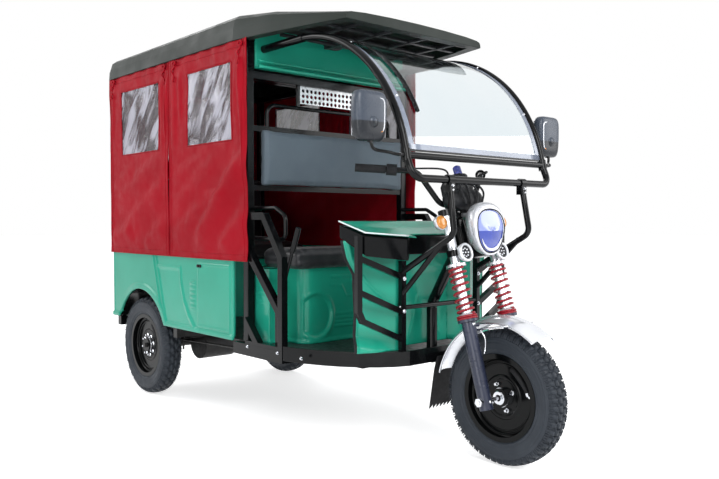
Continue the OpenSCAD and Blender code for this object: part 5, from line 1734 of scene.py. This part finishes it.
@dataclass
class Screen:
    """Edge trim, clamps and the wiper's ribs on the bent windscreen.

    Attributes:
        radius: Radius of the bend.
        foot: Where the bend's frame ends below, X from the rear axle and Z.
        foot_angle: Angle of that end in degrees.
        half: Half width of the sheet.
        ends: Angles of the sheet's lower and upper edges in degrees.
    """

    radius: float = 0.62
    foot: Pair = (1.885, 1.150)
    foot_angle: float = 10.0
    half: float = 0.3877
    ends: Pair = (12.0, 81.5)

    CLAMP = (1.919, 0.216, 1.068)

    def spot(self, angle: float, y: float, over: float = 0.0) -> Vector:
        """A point on the sheet at an angle in degrees."""
        a, b, r = radians(angle), radians(self.foot_angle), self.radius + over
        x, z = self.foot[0] - self.radius * cos(b), self.foot[1] - self.radius * sin(b)
        return at(x + r * cos(a), y, z + r * sin(a))

    def band(self, shape: Shape, low: float, high: float, left: float, right: float, over: float) -> None:
        """Adds a strip on the sheet between two angles and two widths."""
        shape.grid([[self.spot(a, y, over) for y in even(left, right, 12)] for a in even(low, high, 48)])

    def build(self) -> None:
        """Trims the screen."""
        trim, black, bright = Shape(), Shape(), Shape()
        low, high = self.ends
        for s in SIDES:
            self.band(trim, low, high, s * (self.half - 0.024), s * self.half, 0.0034)
        self.band(trim, low, low + 1.9, -self.half, self.half, 0.0036)
        self.band(black, low - 0.75, low + 0.15, -self.half, self.half, 0.0036)
        trim.piece("screen_gasket", Coat.TRIM, Body.CHASSIS, thick=0.0016)
        for k in range(26):
            a = 56 + k * 0.9
            black.tube([self.spot(a, -0.3055, 0.0085), self.spot(a, -0.2945, 0.0085)], 0.0022, 6)
        black.tube([self.spot(a, -0.3, 0.011) for a in even(27, 54, 20)], 0.0045, 8)
        for s in SIDES:
            top = at(self.CLAMP[0], s * self.CLAMP[1], self.CLAMP[2])
            black.lathe([(0.0185, -0.016), (0.0185, 0.016)], top, (0, 1, 0), 28)
            black.block(top + Vector((-0.014, -0.015, -0.046)), top + Vector((0.014, 0.015, -0.010)))
            for h in (-0.022, -0.037):
                bolt(bright, top + Vector((0.014, 0, h)), (1, 0, 0), 0.009)
            bolt(bright, at(self.foot[0], s * 0.4345, self.foot[1]), (0, s, 0), 0.011)
            for a in (30, 62):
                bolt(bright, self.spot(a + 1.5, s * (self.half - 0.010), 0.005),
                     self.spot(a, 0, 1.0) - self.spot(a, 0, 0.0), 0.009)
        black.piece("screen_clamps", Coat.BLACK, Body.CHASSIS, bevel=0.001)
        bright.piece("screen_bolts", Coat.CHROME, Body.CHASSIS, soft=False)


@dataclass
class Cables:
    """Control cables from the switch pods to the instrument, in the steering frame.

    Attributes:
        thick: Diameter of a cable.
        steps: Points along each cable.
        grip: Outer end of the right grip.
        bar: Way of that grip towards the middle.
        leave: Where the cable leaves the pod, along the grip and beside it.
    """

    thick: float = 0.007
    steps: int = 40
    grip: Triple = (-0.132, -0.375, 0.953)
    bar: Triple = (0.142, 0.185, -0.055)
    leave: Pair = (0.1619, 0.0165)

    def build(self) -> None:
        """Lays one cable on each side as a curve."""
        way = Vector(self.bar).normalized()
        start = Vector(self.grip) + way * self.leave[0] + way.cross(Vector((0, 0, 1))).normalized() * self.leave[1]
        knots = [start, start + way * 0.19 + Vector((0.044, 0, 0)), Vector((0.095, -0.095, 0.898)),
                 Vector((0.030, -0.0658, 0.8143))]
        for side in Side:
            path = []
            for i in range(self.steps + 1):
                row = knots
                while len(row) > 1:
                    row = [a.lerp(b, i / self.steps) for a, b in zip(row, row[1:])]
                path.append(steer(row[0].x, -side.value * row[0].y, row[0].z))
            data = bpy.data.curves.new(f"cable_{side.name.lower()}", "CURVE")
            data.dimensions = "3D"
            data.bevel_depth = self.thick / 2
            data.bevel_resolution = 3
            line = data.splines.new("POLY")
            line.points.add(len(path) - 1)
            for point, spot in zip(line.points, path):
                point.co = (*spot, 1.0)
            data.materials.append(Coat.RUBBER.material())
            obj = linked(data.name, data)
            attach(obj, Body.STEERING.value)
            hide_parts("control_cables")


@dataclass
class Cowl:
    """Pressed leg shields, recessed front panel and hood.

    Attributes:
        rear: Plan place of a shield's rear edge, X from the rear axle and half width.
        nose: Plan place of the shield's front edge.
        recess: Plan place of the recessed panel's edge.
        low: Height of the foot.
        slope: Heights of the cowl's top at the back and the front of the hood.
        hood_slope: Heights of the hood there.
        back: Back edge of the hood.
        front: Front edge of the hood.
        length: Length of both slopes.
        notch: Where the hood is cut out for the steering head, X and half width.
    """

    rear: Pair = (1.556, 0.425)
    nose: Pair = (1.663, 0.200)
    recess: Pair = (1.586, 0.140)
    low: float = 0.4085
    slope: Pair = (0.852, 0.761)
    hood_slope: Pair = (0.915, 0.858)
    back: float = 1.540
    front: float = 1.705
    length: float = 0.165
    notch: Pair = (1.668, 0.165)

    EDGE = ((0.0, 0.90), (0.3, 0.885), (0.62, 0.90), (0.74, 0.97), (0.86, 1.0), (1.0, 0.97))
    HOOD_EDGE = ((1.540, 0.425), (1.664, 0.400), (1.705, 0.210))

    def top(self, x: float) -> float:
        """Height of the top edge under the tray."""
        return mix(*self.slope, (x - self.back) / self.length)

    def crest(self, x: float) -> float:
        """Height of the hood before it is dished."""
        return mix(*self.hood_slope, (x - self.back) / self.length)

    def shield(self, t: float, v: float, s: int) -> Vector:
        """A point of a leg shield from its shares of width and height."""
        half = mix(self.rear[1] * lookup(self.EDGE, v * 0.87), self.nose[1], t)
        run = (self.rear[1] - half) / (self.rear[1] - self.nose[1])
        x = mix(self.rear[0], self.nose[0], run)
        z = mix(self.low, self.top(x), v)
        kick = 0.030 * smooth((0.17 - 0.10 * t - v) / 0.13) * smooth((0.85 - t) / 0.5)
        roll = 0.010 * ridge(t - 0.10, 0.16) * smooth((v - 0.72) / 0.12) + 0.004 * ridge(t - 0.03, 0.05)
        crease = 0.005 * ridge(t - mix(0.1, 0.95, smooth((0.8 - v) / 0.5)), 0.05) * smooth((v - 0.3) / 0.1)
        out = Vector((self.rear[1] - self.nose[1], s * (self.nose[0] - self.rear[0]), 0)).normalized()
        return at(x, s * half, z) + out * (kick + roll + crease)

    def build(self) -> None:
        """Presses the cowl, trims its edges and lays the hood."""
        metal, trim = Shape(), Shape()
        for s in SIDES:
            rows = [[self.shield(t, v, s) for t in even(0, 1, 56)] for v in even(0, 1, 72)]
            metal.grid(rows if s < 0 else rows[::-1])
            trim.tube([row[0] for row in rows], 0.0062, 10)
            (nx, ny), (rx, ry) = self.nose, self.recess
            plan = [(mix(nx, rx, t), s * mix(ny, ry, t)) for t in even(0, 1, 16)]
            side = [[at(x, y, mix(self.low, self.top(x), i / 20)) for x, y in plan] for i in range(21)]
            metal.grid(side if s < 0 else side[::-1])
        rx, ry = self.recess
        bow = Crease((-0.095, 0.43), (-0.040, 0.62), 0.012, 0.006, 0.5, 0.1)
        panel = [[at(rx + bow.height(-abs(y), z) + 0.006 * smooth((z - 0.70) / 0.03), y, z)
                  for y in even(-ry, ry, 60)] for z in even(self.low, self.top(rx), 70)]
        metal.grid(panel)
        metal.piece("cowl_pressed", Coat.GREEN, Body.CHASSIS, ["front_cowl"], thick=0.004)
        trim.piece("shield_trim", Coat.RUBBER, Body.CHASSIS)
        self.hood()

    def hood(self) -> None:
        """Presses the hood's shallow dish and lays a near-white painted highlight along its edges."""
        top, line = Shape(), Shape()
        rows, left, right = [], [], []
        stop, cut_half = self.notch
        for x in even(self.back, self.front, 44):
            half = lookup(self.HOOD_EDGE, x)
            row = []
            for y in even(-half, half, 80):
                edge = smooth((half - abs(y)) / 0.05)
                dish = -0.0085 * edge * smooth((x - 1.545) / 0.06) * (0.6 + 0.4 * cos(y / half * pi / 2))
                end = stop if x > stop and abs(y) < cut_half else x
                row.append(at(end, y, self.crest(end) + dish))
            rows.append(row)
            right.append(row[0])
            left.append(row[-1])
        top.grid(rows)
        top.piece("hood_pressed", Coat.GREEN, Body.CHASSIS, ["hood"], thick=0.0035)
        # Painted highlight: near-white tubes along both side edges of the hood.
        for path in (left, right):
            line.tube([p + Vector((0, 0, 0.0012)) for p in path], 0.0032, 8)
        line.piece("hood_edge", Coat.EDGE_HIGHLIGHT, Body.CHASSIS)
        screw = Shape()
        for s in SIDES:
            bolt(screw, at(1.627, s * 0.411, 0.845), (0.2, s, 0), 0.010)
        screw.piece("tray_screws", Coat.IRON, Body.CHASSIS, soft=False)


@dataclass
class Canopy:
    """Header lip, cabin lamp and roof ribs.

    Attributes:
        ribs: Half widths of the ribs along the roof.
        bars: Places of the ribs across it.
        lamp: Height of the cabin lamp.
    """

    ribs: Pair = (0.10, 0.28)
    bars: tuple[float, ...] = (1.12, 1.25, 1.38, 1.49)
    lamp: float = 1.726

    LIP = ((0.006, 0.0075), (0.030, 0.0035))
    LAMP_RINGS = ((1.0, 0.0), (1.0, 0.010), (0.92, 0.014), (0.6, 0.016), (0.02, 0.017))
    LAMP_HALF = (0.055, 0.020)

    def build(self) -> None:
        """Adds the pressings above the cabin."""
        low, high = (Vector(c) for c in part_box("header_panel"))
        lip, lamp, ribs = Shape(), Shape(), Shape()
        for h, r in self.LIP:
            lip.tube([(high.x + 0.0005, y, low.z + h) for y in even(low.y, high.y, 40)], r, 10)
        lip.piece("header_lip", Coat.GREEN, Body.CHASSIS)
        spot = Vector((high.x, -0.04, self.lamp))
        wide, tall = self.LAMP_HALF
        lamp.grid([[spot + Vector((h, wide * r * cos(a), tall * r * sin(a))) for a in angles(40)]
                   for r, h in self.LAMP_RINGS], ring=True)
        lamp.piece("cabin_lamp", Coat.SHELL, Body.CHASSIS)
        for y in self.ribs:
            for s in SIDES:
                ribs.block(at(1.06, s * y - 0.010, 1.697), at(1.505, s * y + 0.010, 1.709))
        for x in self.bars:
            ribs.block(at(x, -0.40, 1.699), at(x + 0.022, 0.40, 1.7115))
        ribs.piece("roof_ribs", Coat.SHELL, Body.CHASSIS, bevel=0.002)


@dataclass
class Fittings:
    """Bolts, brake rods and spring clips.

    Attributes:
        guard_bolts: Heights of the leg guards' bolts.
        skirt_bolts: Places of the skirt's bolts along the vehicle.
        rod: Points of the left brake rod.
        clips: Places of the spring clips along the vehicle.
    """

    guard_bolts: Pair = (0.705, 0.578)
    skirt_bolts: Triple = (1.02, 1.24, 1.40)
    rod: tuple[Triple, ...] = ((0.10, 0.33, 0.285), (0.45, 0.335, 0.30), (0.95, 0.33, 0.318),
                                                   (1.12, 0.30, 0.332))
    clips: Pair = (-0.045, 0.045)

    CLIP = ((-0.026, 0.215), (-0.026, 0.262), (0.026, 0.262), (0.026, 0.215))

    def build(self) -> None:
        """Adds the fastenings of the guards, the skirt and the underbody."""
        bright, iron = Shape(), Shape()
        for s in SIDES:
            out = Vector((0.27, s * 0.08, 0)).normalized() + Vector((0, s, 0))
            for z in self.guard_bolts:
                bolt(bright, at(1.682, s * 0.2345, z), out, 0.013)
                bolt(bright, at(1.6935, s * 0.222, z - 0.012), (1, 0, 0), 0.012)
            for x in self.skirt_bolts:
                bolt(bright, at(x, s * 0.4995, 0.376), (0, s, 0), 0.010)
            iron.tube(spline([at(x, s * y, z) for x, y, z in self.rod], 8), 0.005, 8)
            for x in self.clips:
                iron.tube([at(x, s * 0.30 + k, z) for k, z in self.CLIP], 0.0055, 8)
        bright.piece("guard_bolts", Coat.CHROME, Body.CHASSIS, soft=False)
        iron.piece("brake_rods", Coat.IRON, Body.CHASSIS)


@dataclass
class Studio:
    """Camera, lamps and floor.

    Attributes:
        eye: Camera's place, with X counted from the rear axle.
        turn: Camera's turn about Z in degrees.
        pitch: Downward pitch in degrees.
        focal_px: Focal length in pixels of the photograph.
        width_px: Width of the photograph in pixels.
        sensor: Sensor width in millimetres.
        floor: Half side of the floor in metres.
        grey: Paleness of the floor.
        glow: Light that lifts the floor to white where it is looked at.
        aim: Height that the lamps are aimed at.
    """

    eye: Triple = (3.80, -2.325, 0.923)
    turn: float = 48.4
    pitch: float = 1.5
    focal_px: float = 767.8
    width_px: float = 719.0
    sensor: float = 36.0
    floor: float = 40.0
    grey: float = 0.88
    glow: float = 0.62
    aim: float = 0.8

    LAMPS = (("key", (5.0, -1.4, 3.4), 2.6, 190.0), ("side", (-4.2, -3.4, 3.4), 2.6, 95.0),
             ("fill", (2.4, -5.2, 1.5), 2.6, 95.0), ("back", (-4.6, 2.2, 4.4), 3.0, 90.0),
             ("rim", (3.6, 3.6, 2.4), 2.4, 60.0))
    SKY = ((0.02, 0.22), (0.8, 0.72))
    SKY_TINT = (0.94, 0.97, 1.0)
    WHITE = (1.0, 1.0, 1.0, 1.0)

    def build(self) -> None:
        """Makes the camera, the lamps, the world and the floor."""
        self.camera()
        self.world()
        for row in self.LAMPS:
            self.lamp(*row)
        self.ground()
        bpy.context.scene.view_settings.view_transform = "Standard"

    def camera(self) -> None:
        """Puts the camera where the photograph was taken."""
        data = bpy.data.cameras.new("camera")
        data.sensor_fit = "HORIZONTAL"
        data.sensor_width = self.sensor
        data.lens = self.focal_px * self.sensor / self.width_px
        obj = linked("camera", data)
        obj.location = at(*self.eye)
        obj.rotation_euler = (radians(90 - self.pitch), 0, radians(self.turn))
        bpy.context.scene.camera = obj

    def world(self) -> None:
        """Lights all round, with a white background for what looks at it."""
        world = bpy.data.worlds.new("studio")
        bpy.context.scene.world = world
        world.use_nodes = True
        nodes, links = world.node_tree.nodes, world.node_tree.links
        light, white = nodes["Background"], nodes.new("ShaderNodeBackground")
        height, sky = nodes.new("ShaderNodeSeparateXYZ"), nodes.new("ShaderNodeValToRGB")
        links.new(nodes.new("ShaderNodeTexCoord").outputs["Generated"], height.inputs["Vector"])
        links.new(height.outputs["Z"], sky.inputs["Fac"])
        for stop, (rise, level) in zip(sky.color_ramp.elements, self.SKY):
            stop.position = rise
            stop.color = (*(level * tint for tint in self.SKY_TINT), 1.0)
        links.new(sky.outputs["Color"], light.inputs["Color"])
        white.inputs["Color"].default_value = self.WHITE
        pick = nodes.new("ShaderNodeMixShader")
        links.new(background_rays(world.node_tree), pick.inputs["Fac"])
        links.new(light.outputs["Background"], pick.inputs[1])
        links.new(white.outputs["Background"], pick.inputs[2])
        links.new(pick.outputs["Shader"], nodes["World Output"].inputs["Surface"])

    def lamp(self, name: str, spot: Triple, size: float, power: float) -> None:
        """Adds a soft square lamp aimed at the vehicle.

        Args:
            name: The lamp's name.
            spot: Its place.
            size: Its side in metres.
            power: Its power in watts.
        """
        data = bpy.data.lights.new(name, "AREA")
        data.size = size
        data.energy = power
        obj = linked(name, data)
        obj.location = spot
        obj.rotation_euler = (Vector((0, 0, self.aim)) - Vector(spot)).to_track_quat("-Z", "Y").to_euler()

    def ground(self) -> None:
        """Lays a pale floor that keeps the shadow."""
        s = Shader("pale_floor")
        s.set(Base_Color=(self.grey, self.grey, self.grey, 1.0), Roughness=0.7)
        glow = s.add("ShaderNodeEmission", {"Color": self.WHITE, "Strength": self.glow})
        plain = s.surface.outputs["BSDF"]
        both = s.add("ShaderNodeAddShader", {0: plain, 1: glow.outputs["Emission"]})
        pick = s.add("ShaderNodeMixShader", {"Fac": background_rays(s.material.node_tree), 1: plain,
                                             2: both.outputs["Shader"]})
        s.links.new(pick.outputs["Shader"], s.nodes["Material Output"].inputs["Surface"])
        data = bpy.data.meshes.new("floor")
        f = self.floor
        data.from_pydata([(-f, -f, 0), (f, -f, 0), (f, f, 0), (-f, f, 0)], [], [(0, 1, 2, 3)])
        data.materials.append(s.material)
        obj = linked("floor", data)


def main() -> None:
    """Builds the studio and every sub-assembly in order."""
    logging.basicConfig(level=logging.INFO, format="%(name)s: %(message)s")
    Studio().build()
    Cables().build()
    dress_nodes()
    Curtains().build()
    Seats().build()
    Wheel("front_tyre", "front_rim", Body.FRONT_WHEEL, Tread.STREET, 52, -1).build()
    Wheel("rear_tyre_right", "rear_rim_right", Body.RIGHT_WHEEL, Tread.CHUNKY, 34, -1).build()
    Wheel("rear_tyre_left", "rear_rim_left", Body.LEFT_WHEEL, Tread.CHUNKY, 34, 1).build()
    for side in Side:
        Panel(side).build()
    SeatBox().build()
    for part in (Fork(), Lamps(), Dash(), Mirrors(), Screen(), Cowl(), Canopy(), Fittings()):
        part.build()


if __name__ == "__main__":
    main()
